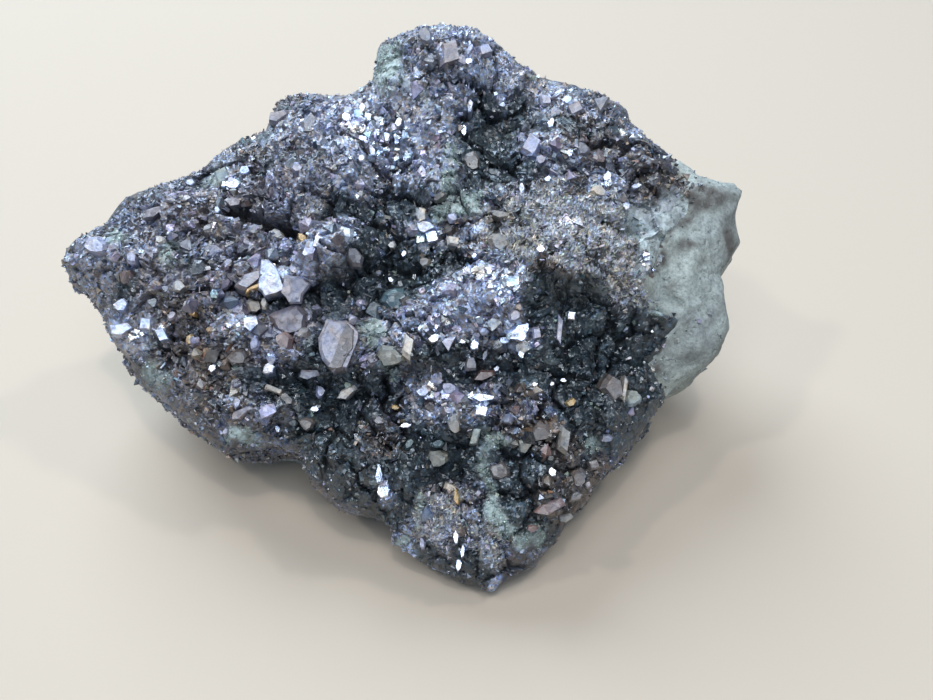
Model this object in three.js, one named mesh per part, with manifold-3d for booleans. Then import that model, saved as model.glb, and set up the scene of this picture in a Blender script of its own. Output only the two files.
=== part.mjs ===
// A hand specimen of sphalerite and galena: a broken lump of grey-green host rock whose front face
// carries a crust of intergrown dark crystals. Millimetres, +Z up. It rests on a flat break, and the
// crystal face leans back.
import * as THREE from "three";
import { mergeVertices } from "three/addons/utils/BufferGeometryUtils.js";
import Module from "manifold-3d";

// ---------------------------------------------------------------- driving dimensions

const LEAN = THREE.MathUtils.degToRad(33); // how far the crystal face leans back from level
const FACE_HEIGHT = 11.5; // height of the crystal face's centre above the table
const FACE_SWELL = 5.2; // how far the face bulges out in its middle
const FACE_RINGS = 15; // rings of the face's mesh, each with six more points than the last
const CRUST_THICKNESS = 3.4; // crystal crust, at its middle and where it wraps over the rim
const CRUST_RINGS = 9; // the hidden bed of the crust is smooth, so it needs fewer rings
const CRUST_OVERHANG = 1.14; // the bed's outline against the face's, so that it reaches past the rim
const SPACE_CEILING = 20; // the crust's space ends this high over the face's plane, clear of all crystals
const BARE_ROCK_DROP = 1.3; // how far the bare rock lies below the crust beside it
const SEAT_GAP = 0.3; // between the crust and the rock that it grows on
const SIDE_RINGS = 6; // rings of the broken side, from the rim to the foot
const SIDE_SWELL = 2.8; // how far the side bulges out between the rim and the foot
const SIDE_CLEARANCE = 0.3; // the side stays this far off the table until it reaches the foot
const FOOT_SHARE = 0.6; // the foot's outline against the rim's, seen from above
const FOOT_CENTRE = new THREE.Vector3(-1.5, 3.5, 0); // middle of the flat break that the specimen rests on
const FRACTURE_SIZE = 5.5; // width of the flat breaks of the side
const FRACTURE_DEPTH = 1.5; // how far they step in and out
const FACET_SIZE = 2.6; // width of the flat tips of crystals that make up the crust's surface
const FACET_DEPTH = 0.5; // how far those step in and out
const FACE_SPAN = 56; // a square this wide holds the whole face
const EDGE_SHARE = 0.94; // crystals stand inside this share of the way to the crust's edge
const LOOSE_CRYSTALS = 104; // crystals that stand out of the crust beside the placed ones
const CRYSTAL_SIZES = [1.5, 2.9]; // smallest and largest of those, across
const GALENA_SHARE = 0.3; // cubes of galena among them, the others being sphalerite
const CRYSTAL_SINK = 0.08; // how far the middle of a crystal lies below the face, as a share of its size

// Outline of the crystal face, looking square onto it: from its foot, anticlockwise.
const FACE_OUTLINE = [
  [4.3, -20.0], [5.5, -19.3], [7.3, -18.3], [9.1, -16.3], [9.6, -15.2], [11.1, -13.9], [11.6, -12.8],
  [14.0, -10.5], [16.4, -7.0], [17.9, -5.5], [20.1, -4.1], [21.9, -1.2], [21.3, 2.6], [23.0, 5.2],
  [22.8, 7.0], [23.0, 9.0], [22.4, 9.7], [20.0, 10.0], [18.3, 11.3], [15.1, 14.0], [14.7, 15.2],
  [12.8, 16.7], [8.9, 17.7], [6.0, 19.7], [3.1, 21.6], [0.8, 21.9], [-1.9, 21.2], [-3.9, 20.6],
  [-4.5, 17.5], [-6.3, 16.4], [-10.4, 16.5], [-11.7, 15.8], [-12.4, 13.6], [-14.9, 12.6], [-17.3, 10.4],
  [-22.7, 8.5], [-24.2, 6.2], [-26.3, 5.1], [-27.1, 3.5], [-24.4, 0.7], [-22.7, -2.6], [-20.1, -5.7],
  [-17.6, -8.1], [-14.2, -10.7], [-11.1, -10.0], [-9.1, -10.6], [-8.2, -12.7], [-6.1, -14.5],
  [-2.6, -15.4], [-2.5, -16.7], [-0.3, -18.1], [2.2, -19.3],
];

// Edge of the crust beside the bare rock, on the right of the face, from below to above.
const BARE_EDGE = [
  [17.0, -6.4], [15.7, -4.3], [16.6, -3.1], [17.9, -1.3], [16.0, -0.7], [15.0, 0.8], [15.9, 2.8],
  [16.8, 4.6], [18.6, 6.3], [19.2, 8.0], [19.8, 9.9],
];

// Lumps (rise above 0) and hollows (below 0) of the face: middle, half-widths, turn in degrees, rise.
const SWELLS = [
  { name: "central plateau", a: 4.9, b: -0.5, wide: 6.5, tall: 2.6, turn: 12, rise: 1.7 },
  { name: "mossy mound", a: 10.5, b: 3.1, wide: 5.2, tall: 3.6, turn: -25, rise: 2.3 },
  { name: "left lump", a: -6.4, b: 3.1, wide: 2.2, tall: 2.1, turn: 0, rise: 1.9 },
  { name: "upper left mass", a: -8.6, b: 9.6, wide: 6.5, tall: 3.6, turn: 35, rise: 1.2 },
  { name: "top knob", a: 0.7, b: 18.8, wide: 4.2, tall: 2.8, turn: 0, rise: 2.2 },
  { name: "right shoulder", a: 12.3, b: 11.3, wide: 5.0, tall: 3.0, turn: -35, rise: 1.5 },
  { name: "foot lobe", a: 8.0, b: -12.4, wide: 3.4, tall: 3.0, turn: 30, rise: 1.9 },
  { name: "lower left lobe", a: -3.9, b: -11.8, wide: 3.6, tall: 2.2, turn: -30, rise: 1.3 },
  { name: "left wing", a: -19.1, b: 1.0, wide: 4.2, tall: 4.0, turn: 0, rise: 0.8 },
  { name: "green lumps", a: 0.2, b: -3.9, wide: 2.4, tall: 1.8, turn: 0, rise: 1.2 },
  { name: "pale lumps", a: 2.9, b: -7.3, wide: 2.4, tall: 1.3, turn: 0, rise: 1.1 },
  { name: "crevice", a: -12.3, b: 5.4, wide: 2.7, tall: 0.75, turn: -21, rise: -2.7 },
  { name: "middle valley", a: -2.0, b: 2.0, wide: 3.4, tall: 2.1, turn: 35, rise: -2.4 },
  { name: "upper valley", a: -2.6, b: 8.0, wide: 1.9, tall: 3.6, turn: -15, rise: -1.7 },
  { name: "top recess", a: 4.6, b: 13.6, wide: 2.4, tall: 3.6, turn: -15, rise: -2.8 },
  { name: "hollow under the mound", a: 9.8, b: -0.6, wide: 2.3, tall: 1.2, turn: 10, rise: -2.2 },
  { name: "dark slope", a: 14.4, b: -4.4, wide: 3.6, tall: 3.0, turn: -40, rise: -1.4 },
  { name: "small shadow", a: 1.9, b: -2.6, wide: 1.2, tall: 0.8, turn: 0, rise: -1.2 },
  { name: "lower left hollow", a: -8.0, b: -6.7, wide: 3.2, tall: 1.5, turn: -15, rise: -1.6 },
  { name: "pit", a: 13.9, b: 4.5, wide: 1.1, tall: 0.6, turn: 15, rise: -1.6 },
  { name: "small hollow", a: -5.3, b: 6.0, wide: 1.4, tall: 1.1, turn: 0, rise: -1.3 },
  { name: "foot hollow", a: 1.9, b: -11.5, wide: 2.0, tall: 1.6, turn: 0, rise: -1.8 },
];

// Steps of the face: the side towards the foot lies lower. Middle, half-length, turn in degrees, drop.
const LEDGES = [
  { name: "plateau ledge", a: -1.0, b: -5.2, length: 9.0, turn: 4, drop: 1.5 },
  { name: "mound ledge", a: 12.0, b: -0.4, length: 4.0, turn: 10, drop: 0.9 },
  { name: "crevice lip", a: -12.0, b: 6.1, length: 4.0, turn: -21, drop: 1.0 },
  { name: "foot ledge", a: 3.0, b: -9.6, length: 7.0, turn: -8, drop: 1.0 },
];
const LEDGE_STEEPNESS = 0.5; // half-width of a ledge's slope
const LEDGE_REACH = 3.2; // how far below a ledge its drop fades out

// Small bumps of the face, over the lumps: width and rise.
const BUMPS = [
  { size: 2.7, rise: 0.45 },
  { size: 1.4, rise: 0.3 },
];

// Patches of fine needles and green grains, where no loose crystal stands out.
const FINE_PATCHES = [
  { name: "mossy mound", a: 11.0, b: 3.4, reach: 3.4 },
  { name: "dark slope", a: 14.2, b: -4.6, reach: 2.8 },
  { name: "green hollow", a: 1.6, b: 7.0, reach: 1.6 },
  { name: "green vein", a: 5.4, b: -14.2, reach: 1.9 },
];

// The largest crystals, where they stand on the face: middle, size across and shape.
const PLACED_CRYSTALS = [
  { a: -6.0, b: -3.6, size: 3.4, shape: "sphalerite" },
  { a: -10.7, b: 1.0, size: 2.4, shape: "sphalerite" },
  { a: -9.2, b: 0.4, size: 2.2, shape: "sphalerite" },
  { a: -6.4, b: 3.3, size: 3.9, shape: "sphalerite" },
  { a: -9.6, b: -1.4, size: 2.6, shape: "sphalerite" },
  { a: -9.7, b: -3.3, size: 1.9, shape: "sphalerite" },
  { a: -12.1, b: 0.8, size: 2.2, shape: "galena" },
  { a: -12.0, b: -2.1, size: 1.7, shape: "galena" },
  { a: -2.6, b: -0.2, size: 2.0, shape: "sphalerite" },
  { a: -3.0, b: -4.7, size: 2.6, shape: "sphalerite" },
  { a: -1.2, b: -4.1, size: 1.9, shape: "galena" },
  { a: -0.2, b: 4.6, size: 2.2, shape: "galena" },
  { a: 1.7, b: 3.5, size: 1.5, shape: "galena" },
  { a: 4.7, b: 3.3, size: 1.9, shape: "sphalerite" },
  { a: 5.2, b: 0.0, size: 2.6, shape: "galena" },
  { a: 6.1, b: -2.9, size: 2.5, shape: "galena" },
  { a: 2.9, b: -4.9, size: 1.8, shape: "sphalerite" },
  { a: 3.9, b: -5.4, size: 1.8, shape: "sphalerite" },
  { a: 3.7, b: -7.4, size: 2.1, shape: "galena" },
  { a: 0.6, b: -6.6, size: 2.4, shape: "sphalerite" },
  { a: 1.8, b: -8.9, size: 1.8, shape: "sphalerite" },
  { a: 0.7, b: -11.0, size: 2.2, shape: "sphalerite" },
  { a: -2.8, b: -13.1, size: 2.2, shape: "galena" },
  { a: 8.3, b: -12.2, size: 1.6, shape: "galena" },
  { a: 8.1, b: -14.4, size: 2.4, shape: "sphalerite" },
  { a: 9.1, b: -9.9, size: 2.2, shape: "sphalerite" },
  { a: 12.7, b: -6.3, size: 2.6, shape: "sphalerite" },
  { a: -15.2, b: 9.0, size: 2.2, shape: "galena" },
  { a: -19.0, b: -2.1, size: 2.2, shape: "galena" },
  { a: -22.9, b: 3.5, size: 2.4, shape: "sphalerite" },
  { a: -2.6, b: 8.3, size: 2.6, shape: "galena" },
  { a: -5.5, b: 12.6, size: 2.4, shape: "galena" },
  { a: -2.4, b: 17.4, size: 2.6, shape: "sphalerite" },
  { a: 2.4, b: 17.8, size: 2.6, shape: "sphalerite" },
  { a: 2.4, b: 12.8, size: 1.5, shape: "galena" },
  { a: 10.7, b: 10.4, size: 2.4, shape: "sphalerite" },
  { a: 12.2, b: 7.7, size: 2.0, shape: "sphalerite" },
];

// ---------------------------------------------------------------- small tools

const wasm = await Module();
wasm.setup();

// Random numbers from 0 to 1 that are the same on each run.
function makeRandom(seed) {
  let state = seed;
  return () => {
    state = (state * 1664525 + 1013904223) % 4294967296;
    return state / 4294967296;
  };
}

// A smooth random surface with bumps one unit across, from -1 to 1.
function noise(x, y) {
  const corner = (i, j) => {
    const s = Math.sin(i * 127.1 + j * 311.7) * 43758.5453;
    return 2 * (s - Math.floor(s)) - 1;
  };
  const ease = (t) => t * t * (3 - 2 * t);
  const [i, j] = [Math.floor(x), Math.floor(y)];
  const [u, v] = [ease(x - i), ease(y - j)];
  const low = corner(i, j) * (1 - u) + corner(i + 1, j) * u;
  const high = corner(i, j + 1) * (1 - u) + corner(i + 1, j + 1) * u;
  return low * (1 - v) + high * v;
}

// Three random numbers from -1 to 1 that belong to a cell of space.
function cellNumbers(i, j, k) {
  return [1, 2, 3].map((n) => {
    const s = Math.sin(i * 127.1 + j * 311.7 + k * 74.7 + n * 53.3) * 43758.5453;
    return 2 * (s - Math.floor(s)) - 1;
  });
}

// A surface of flat facets of a size, each tipped its own way, with steps between them, from -1 to 1.
function facets(point, size) {
  const [x, y, z] = [point.x / size, point.y / size, point.z / size];
  let nearest = Infinity;
  let value = 0;
  for (let n = 0; n < 27; n++) {
    const i = Math.floor(x) + (n % 3) - 1;
    const j = Math.floor(y) + (Math.floor(n / 3) % 3) - 1;
    const k = Math.floor(z) + Math.floor(n / 9) - 1;
    const [p, q, r] = cellNumbers(i, j, k);
    const [dx, dy, dz] = [x - i - 0.5 - 0.4 * p, y - j - 0.5 - 0.4 * q, z - k - 0.5 - 0.4 * r];
    const distance = dx * dx + dy * dy + dz * dz;
    if (distance < nearest) {
      nearest = distance;
      value = 0.4 * p + 0.9 * (q * dx + r * dy + p * dz);
    }
  }
  return value;
}

// Where a point a, b of a form lies in the form's own turned frame.
function turned(a, b, form) {
  const turn = THREE.MathUtils.degToRad(form.turn);
  const [da, db] = [a - form.a, b - form.b];
  return [da * Math.cos(turn) + db * Math.sin(turn), db * Math.cos(turn) - da * Math.sin(turn)];
}

// A manifold-3d solid from a closed three.js geometry.
function solidOf(geometry) {
  const bare = geometry.clone();
  bare.deleteAttribute("normal");
  bare.deleteAttribute("uv");
  const merged = mergeVertices(bare, 1e-4);
  return new wasm.Manifold(
    new wasm.Mesh({
      numProp: 3,
      vertProperties: new Float32Array(merged.attributes.position.array),
      triVerts: new Uint32Array(merged.index.array),
    }),
  );
}

// A three.js geometry with flat faces from a manifold-3d solid.
function geometryOf(solid) {
  const mesh = solid.getMesh();
  const geometry = new THREE.BufferGeometry()
    .setAttribute("position", new THREE.BufferAttribute(mesh.vertProperties, 3))
    .setIndex(new THREE.BufferAttribute(mesh.triVerts, 1))
    .toNonIndexed();
  geometry.computeVertexNormals();
  return geometry;
}

// ---------------------------------------------------------------- the crystal face

// The point at a share of the way round a closed outline, by length.
function outlineWalk(outline) {
  const curve = new THREE.CurvePath();
  outline.forEach((point, i) => {
    const next = outline[(i + 1) % outline.length];
    curve.add(new THREE.LineCurve(new THREE.Vector2(...point), new THREE.Vector2(...next)));
  });
  return (share) => curve.getPoint(share % 1);
}

// How far a, b lies from the face's centre, as a share of the way to an outline.
function outlineShare(outline, a, b) {
  const reach = Math.hypot(a, b);
  for (let i = 0; i < outline.length; i++) {
    const [pa, pb] = outline[i];
    const [qa, qb] = outline[(i + 1) % outline.length];
    const before = pa * b - pb * a;
    const after = qa * b - qb * a;
    if (before >= 0 && after < 0 && pa * a + pb * b + qa * a + qb * b > 0) {
      const t = before / (before - after);
      return reach / Math.hypot(pa + t * (qa - pa), pb + t * (qb - pb));
    }
  }
  return 0;
}

// The smooth swell of the whole face, before its lumps, hollows and ledges.
function broadSwell(share) {
  return FACE_SWELL * Math.sqrt(Math.max(0, 1 - share ** 2.4));
}

// Height of the face over its plane.
function faceHeight(a, b, share) {
  let height = broadSwell(share);
  for (const form of SWELLS) {
    const [along, across] = turned(a, b, form);
    height += form.rise * Math.exp(-((along / form.wide) ** 2) - (across / form.tall) ** 2);
  }
  for (const ledge of LEDGES) {
    const [along, across] = turned(a, b, ledge);
    const below = 0.5 * (1 - Math.tanh(across / LEDGE_STEEPNESS));
    const fade = Math.exp(-((along / ledge.length) ** 4) - (Math.min(across, 0) / LEDGE_REACH) ** 2);
    height -= ledge.drop * below * fade;
  }
  let relief = FACET_DEPTH * facets({ x: a, y: b, z: 0 }, FACET_SIZE);
  for (const { size, rise } of BUMPS) relief += rise * noise(a / size, b / size);
  return height + relief * (1 - share ** 8);
}

// A point of the face's own frame (right, up the slope, out of it) where it stands on the table.
function leaned(a, b, out) {
  const [sin, cos] = [Math.sin(LEAN), Math.cos(LEAN)];
  return new THREE.Vector3(a, b * cos - out * sin, FACE_HEIGHT + b * sin + out * cos);
}

// ---------------------------------------------------------------- closed bodies from rings of points

// The points and triangles of a disc: ring k has 6k points, so the triangles are alike in size.
function disc(rings, pointAt) {
  const points = [pointAt(0, 0)];
  const firstOf = (k) => (k === 0 ? 0 : 1 + 3 * k * (k - 1));
  const at = (k, i) => (k === 0 ? 0 : firstOf(k) + (i % (6 * k)));
  const triangles = [];
  for (let k = 1; k <= rings; k++) {
    for (let i = 0; i < 6 * k; i++) points.push(pointAt(k / rings, i / (6 * k)));
    for (let sector = 0; sector < 6; sector++) {
      for (let i = 0; i < k; i++) {
        const [outer, inner] = [sector * k + i, sector * (k - 1) + i];
        triangles.push([at(k, outer), at(k, outer + 1), at(k - 1, inner)]);
        if (i < k - 1) triangles.push([at(k - 1, inner), at(k, outer + 1), at(k - 1, inner + 1)]);
      }
    }
  }
  return { points, triangles, rim: Array.from({ length: 6 * rings }, (_, i) => at(rings, i)) };
}

// A closed geometry: a disc on top, rings of points below it in order, and a last ring closed by a flat fan.
function closedBody(top, rings, closingPoint) {
  const points = [...top.points];
  const triangles = [...top.triangles];
  let upper = top.rim;
  for (const ring of rings) {
    const lower = ring.map((point) => points.push(point) - 1);
    lower.forEach((index, i) => {
      const next = (i + 1) % lower.length;
      triangles.push([upper[i], index, upper[next]], [upper[next], index, lower[next]]);
    });
    upper = lower;
  }
  const closing = points.push(closingPoint) - 1;
  upper.forEach((index, i) => triangles.push([closing, upper[(i + 1) % upper.length], index]));
  return new THREE.BufferGeometry()
    .setFromPoints(points)
    .setIndex(triangles.flat());
}

// The whole lump, with its front face lowered by a drop everywhere but at the rim.
function lump(drop) {
  const walk = outlineWalk(FACE_OUTLINE);
  const rimSteps = 6 * FACE_RINGS;
  const top = disc(FACE_RINGS, (share, round) => {
    const { x, y } = walk(round).multiplyScalar(share);
    return leaned(x, y, faceHeight(x, y, share) - drop * (1 - share ** 8));
  });
  const sideAt = (step, ring) => {
    const rim = top.points[top.rim[step]];
    const depth = ring / SIDE_RINGS;
    const outward = rim.clone().sub(FOOT_CENTRE).setZ(0);
    const foot = FOOT_CENTRE.clone().addScaledVector(outward, FOOT_SHARE);
    if (ring === SIDE_RINGS) return foot;
    const point = rim.clone().lerp(foot, depth);
    const swell = SIDE_SWELL * (rim.z / (2 * FACE_HEIGHT)) + FRACTURE_DEPTH * facets(point, FRACTURE_SIZE);
    point.addScaledVector(outward.normalize(), swell * Math.sin(Math.PI * depth));
    return point.setZ(Math.max(point.z, SIDE_CLEARANCE));
  };
  const rings = [];
  for (let ring = 1; ring <= SIDE_RINGS; ring++) {
    rings.push(Array.from({ length: rimSteps }, (_, step) => sideAt(step, ring)));
  }
  return solidOf(closedBody(top, rings, FOOT_CENTRE));
}

// The crust's own outline: past the rim all round, and along the bare rock's edge on the right.
function crustOutline() {
  const past = ([low, high]) => FACE_OUTLINE.findIndex(([a, b]) => Math.atan2(b, a) > Math.atan2(high, low));
  const widened = ([a, b]) => [a * CRUST_OVERHANG, b * CRUST_OVERHANG];
  return [
    ...FACE_OUTLINE.slice(0, past(BARE_EDGE[0])).map(widened),
    ...BARE_EDGE,
    ...FACE_OUTLINE.slice(past(BARE_EDGE.at(-1))).map(widened),
  ];
}

// The space that the crust fills: everything over its smooth bed, inside its outline.
function crustSpace() {
  const walk = outlineWalk(crustOutline());
  const bedAt = (share, round) => {
    const { x, y } = walk(round).multiplyScalar(share);
    return [x, y, broadSwell(Math.min(outlineShare(FACE_OUTLINE, x, y), 1)) - CRUST_THICKNESS];
  };
  const top = disc(CRUST_RINGS, (share, round) => {
    const [a, b] = bedAt(share, round);
    return leaned(a, b, SPACE_CEILING);
  });
  const bed = disc(CRUST_RINGS, (share, round) => leaned(...bedAt(share, round)));
  const points = [...top.points, ...bed.points];
  const shift = top.points.length;
  const triangles = [
    ...top.triangles,
    ...bed.triangles.map(([p, q, r]) => [r + shift, q + shift, p + shift]),
  ];
  top.rim.forEach((upper, i) => {
    const next = top.rim[(i + 1) % top.rim.length];
    triangles.push([upper, upper + shift, next], [next, upper + shift, next + shift]);
  });
  return solidOf(new THREE.BufferGeometry().setFromPoints(points).setIndex(triangles.flat()));
}

// The hollow in the rock that the crust sits in, a gap deeper than the crust and a gap wider on the right.
function crustSeat(space) {
  const lowered = leaned(0, 0, -SEAT_GAP).sub(leaned(0, 0, 0));
  const widened = lowered.clone().setX(SEAT_GAP);
  return space.translate(lowered.toArray()).add(space.translate(widened.toArray()));
}

// ---------------------------------------------------------------- crystals

// A crystal one millimetre across: sphalerite as a tetrahedron with cut corners, galena as a cube.
function crystalSolid(shape) {
  if (shape === "galena") return solidOf(new THREE.BoxGeometry(0.8, 0.8, 0.8));
  const tetrahedron = solidOf(new THREE.TetrahedronGeometry(0.95));
  return tetrahedron.intersect(solidOf(new THREE.OctahedronGeometry(0.62)));
}

// A crystal set into the face at a, b, turned by three random angles.
function seatedCrystal(unit, a, b, size, random) {
  const [yaw, tilt, spin] = [2 * Math.PI * random(), 0.9 * random(), 2 * Math.PI * random()];
  const share = Math.min(outlineShare(FACE_OUTLINE, a, b), 1);
  const place = new THREE.Matrix4()
    .makeRotationX(LEAN)
    .setPosition(leaned(a, b, faceHeight(a, b, share) - CRYSTAL_SINK * size));
  place
    .multiply(new THREE.Matrix4().makeRotationZ(yaw))
    .multiply(new THREE.Matrix4().makeRotationX(tilt))
    .multiply(new THREE.Matrix4().makeRotationZ(spin))
    .multiply(new THREE.Matrix4().makeScale(size, size, size));
  return unit.transform(place.elements);
}

// Whether a loose crystal can stand at a, b: on the crust, inside its edges and off the fine patches.
function takesCrystal(outline, a, b) {
  const inside = outlineShare(FACE_OUTLINE, a, b) < EDGE_SHARE && outlineShare(outline, a, b) < EDGE_SHARE;
  return inside && FINE_PATCHES.every((patch) => Math.hypot(a - patch.a, b - patch.b) > patch.reach);
}

function allCrystals() {
  const units = { sphalerite: crystalSolid("sphalerite"), galena: crystalSolid("galena") };
  const outline = crustOutline();
  const random = makeRandom(20);
  const made = PLACED_CRYSTALS.map(({ a, b, size, shape }) =>
    seatedCrystal(units[shape], a, b, size, random),
  );
  const [small, large] = CRYSTAL_SIZES;
  while (made.length < PLACED_CRYSTALS.length + LOOSE_CRYSTALS) {
    const [a, b] = [FACE_SPAN * (random() - 0.5), FACE_SPAN * (random() - 0.5)];
    const size = small + (large - small) * random() ** 2;
    const shape = random() < GALENA_SHARE ? "galena" : "sphalerite";
    if (takesCrystal(outline, a, b)) made.push(seatedCrystal(units[shape], a, b, size, random));
  }
  return made;
}

// ---------------------------------------------------------------- the specimen

const space = crustSpace();
const crust = lump(0).add(wasm.Manifold.union(allCrystals())).intersect(space);
const rock = lump(BARE_ROCK_DROP).subtract(crustSeat(space));

function piece(name, solid, colour, roughness, metalness) {
  const material = new THREE.MeshStandardMaterial({ color: colour, roughness, metalness });
  const mesh = new THREE.Mesh(geometryOf(solid), material);
  mesh.name = name;
  return mesh;
}

const specimen = new THREE.Group();
specimen.add(piece("matrix_rock", rock, 0x8c948c, 0.9, 0));
specimen.add(piece("crystal_crust", crust, 0x3a3a40, 0.3, 0.7));

// The part's origin is on the table, under the middle of its box.
const box = new THREE.Box3().setFromObject(specimen);
specimen.position.set(-(box.min.x + box.max.x) / 2, -(box.min.y + box.max.y) / 2, -box.min.z);

export default specimen;
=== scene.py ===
"""Looks of the sphalerite and galena specimen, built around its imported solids.

The rock and the crust are remade as fine closed surfaces from the same shape values as the solids,
and thousands of faceted crystals, blades and grains are set on the crust.
Shape values are in millimetres in the face's own frame: a to the right, b up the slope, and out of it.
A turn is in degrees. A share of the face is 0 at its centre and 1 at its outline.
"""

import math
from itertools import combinations, product

import bpy
import numpy as np
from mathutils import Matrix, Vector


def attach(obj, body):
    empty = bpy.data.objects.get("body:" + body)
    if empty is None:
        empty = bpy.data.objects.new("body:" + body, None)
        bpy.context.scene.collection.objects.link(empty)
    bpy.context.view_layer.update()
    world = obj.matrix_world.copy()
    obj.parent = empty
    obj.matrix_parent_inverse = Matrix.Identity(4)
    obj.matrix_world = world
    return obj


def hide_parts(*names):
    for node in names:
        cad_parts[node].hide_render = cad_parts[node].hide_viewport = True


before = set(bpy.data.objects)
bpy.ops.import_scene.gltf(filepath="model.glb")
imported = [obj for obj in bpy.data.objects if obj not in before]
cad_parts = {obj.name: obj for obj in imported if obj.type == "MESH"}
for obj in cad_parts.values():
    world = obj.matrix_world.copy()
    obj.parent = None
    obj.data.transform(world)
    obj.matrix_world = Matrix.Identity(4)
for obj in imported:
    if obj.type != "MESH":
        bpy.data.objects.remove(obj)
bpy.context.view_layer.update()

MM = 0.001
SEED = 11

# ---------------------------------------------------------------- shape values shared with the solids

LEAN = math.radians(33)  # how far the crystal face leans back from level
LEAN_SIN, LEAN_COS = math.sin(LEAN), math.cos(LEAN)
FACE_CENTRE = np.array([1.922, -0.829, 11.5])  # the face's centre in the part's frame
FACE_SWELL = 5.2
CRUST_THICKNESS = 3.4
BARE_ROCK_DROP = 1.3
SIDE_SWELL = 2.8
SIDE_CLEARANCE = 0.3
FOOT_SHARE = 0.6
FOOT_CENTRE = FACE_CENTRE * (1, 1, 0) + (-1.5, 3.5, 0)
FRACTURE_SIZE = 5.5
FRACTURE_DEPTH = 1.5
FACET_SIZE = 2.6
FACET_DEPTH = 0.5
LEDGE_STEEPNESS = 0.5
LEDGE_REACH = 3.2
BUMPS = [(2.7, 0.45), (1.4, 0.3)]  # width and rise

FACE_OUTLINE = [
    (4.3, -20.0), (5.5, -19.3), (7.3, -18.3), (9.1, -16.3), (9.6, -15.2), (11.1, -13.9), (11.6, -12.8),
    (14.0, -10.5), (16.4, -7.0), (17.9, -5.5), (20.1, -4.1), (21.9, -1.2), (21.3, 2.6), (23.0, 5.2),
    (22.8, 7.0), (23.0, 9.0), (22.4, 9.7), (20.0, 10.0), (18.3, 11.3), (15.1, 14.0), (14.7, 15.2),
    (12.8, 16.7), (8.9, 17.7), (6.0, 19.7), (3.1, 21.6), (0.8, 21.9), (-1.9, 21.2), (-3.9, 20.6),
    (-4.5, 17.5), (-6.3, 16.4), (-10.4, 16.5), (-11.7, 15.8), (-12.4, 13.6), (-14.9, 12.6), (-17.3, 10.4),
    (-22.7, 8.5), (-24.2, 6.2), (-26.3, 5.1), (-27.1, 3.5), (-24.4, 0.7), (-22.7, -2.6), (-20.1, -5.7),
    (-17.6, -8.1), (-14.2, -10.7), (-11.1, -10.0), (-9.1, -10.6), (-8.2, -12.7), (-6.1, -14.5),
    (-2.6, -15.4), (-2.5, -16.7), (-0.3, -18.1), (2.2, -19.3),
]
BARE_EDGE = [
    (17.0, -6.4), (15.7, -4.3), (16.6, -3.1), (17.9, -1.3), (16.0, -0.7), (15.0, 0.8), (15.9, 2.8),
    (16.8, 4.6), (18.6, 6.3), (19.2, 8.0), (19.8, 9.9),
]

# Lumps and hollows of the face: a, b, half-width, half-height, turn, rise.
SWELLS = [
    (4.9, -0.5, 6.5, 2.6, 12, 1.7),  # central plateau
    (10.5, 3.1, 5.2, 3.6, -25, 2.3),  # mossy mound
    (-6.4, 3.1, 2.2, 2.1, 0, 1.9),  # left lump
    (-8.6, 9.6, 6.5, 3.6, 35, 1.2),  # upper left mass
    (0.7, 18.8, 4.2, 2.8, 0, 2.2),  # top knob
    (12.3, 11.3, 5.0, 3.0, -35, 1.5),  # right shoulder
    (8.0, -12.4, 3.4, 3.0, 30, 1.9),  # foot lobe
    (-3.9, -11.8, 3.6, 2.2, -30, 1.3),  # lower left lobe
    (-19.1, 1.0, 4.2, 4.0, 0, 0.8),  # left wing
    (0.2, -3.9, 2.4, 1.8, 0, 1.2),  # green lumps
    (2.9, -7.3, 2.4, 1.3, 0, 1.1),  # pale lumps
    (-12.0, 5.5, 2.8, 0.28, -21, -2.2),  # crevice, sharper than the solids'
    (-2.0, 2.0, 3.4, 2.1, 35, -2.4),  # middle valley
    (-2.6, 8.0, 1.9, 3.6, -15, -1.7),  # upper valley
    (4.6, 13.6, 2.4, 3.6, -15, -2.8),  # top recess
    (9.8, -0.6, 2.3, 1.2, 10, -2.2),  # hollow under the mound
    (14.4, -4.4, 3.6, 3.0, -40, -1.4),  # dark slope
    (1.9, -2.6, 1.2, 0.8, 0, -1.2),  # small shadow
    (-8.0, -6.7, 3.2, 1.5, -15, -1.6),  # lower left hollow
    (13.9, 4.5, 1.1, 0.6, 15, -1.6),  # pit
    (-5.3, 6.0, 1.4, 1.1, 0, -1.3),  # small hollow
    (1.9, -11.5, 2.0, 1.6, 0, -1.8),  # foot hollow
]
# Steps of the face: a, b, half-length, turn, drop.
LEDGES = [(-1.0, -5.2, 9.0, 4, 1.5), (12.0, -0.4, 4.0, 10, 0.9), (-12.0, 6.1, 4.0, -21, 1.0),
          (3.0, -9.6, 7.0, -8, 1.0)]

# ---------------------------------------------------------------- the scene's own values

CRUST_RINGS = 160  # rings of the crust's fine surface
ROCK_RINGS = 100
ROCK_SIDE_RINGS = 60
CRUST_SIDE_RINGS = 12
BED_RINGS = (0.85, 0.5)  # where the crust's underside has rings, as shares of the way to its rim
CRUST_LAP = 0.5  # how far the crust's edge laps over the rock below it
CRUST_PROUD = 0.3  # how far the crust's side stands out of the rock's
PROUD_FROM = 3  # it does so from the first third of its height on
DEEPEST_EDGE = 0.9  # the crust's lower edge stays above this share of the side's height
HALVINGS = 14  # of the search for that edge
CRUST_SIDE_RELIEF = [(1.5, 0.45), (0.6, 0.16)]  # size and depth of the facets of its side
ROCK_SIDE_RELIEF = [(1.9, 0.35), (0.8, 0.12)]
SIDE_SOFTNESS = (0.1, 0.15)  # of the facets of the crust's and of the rock's side
RAMP = 2.5  # over this length of the rim the rock's edge sinks from the face to the crust's foot
SHOULDER = 0.82  # beyond this share of the face the rock under the crust runs straight to its edge
ROCK_GAP = 0.3  # the hidden rock lies this far under the crust's bed
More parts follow.
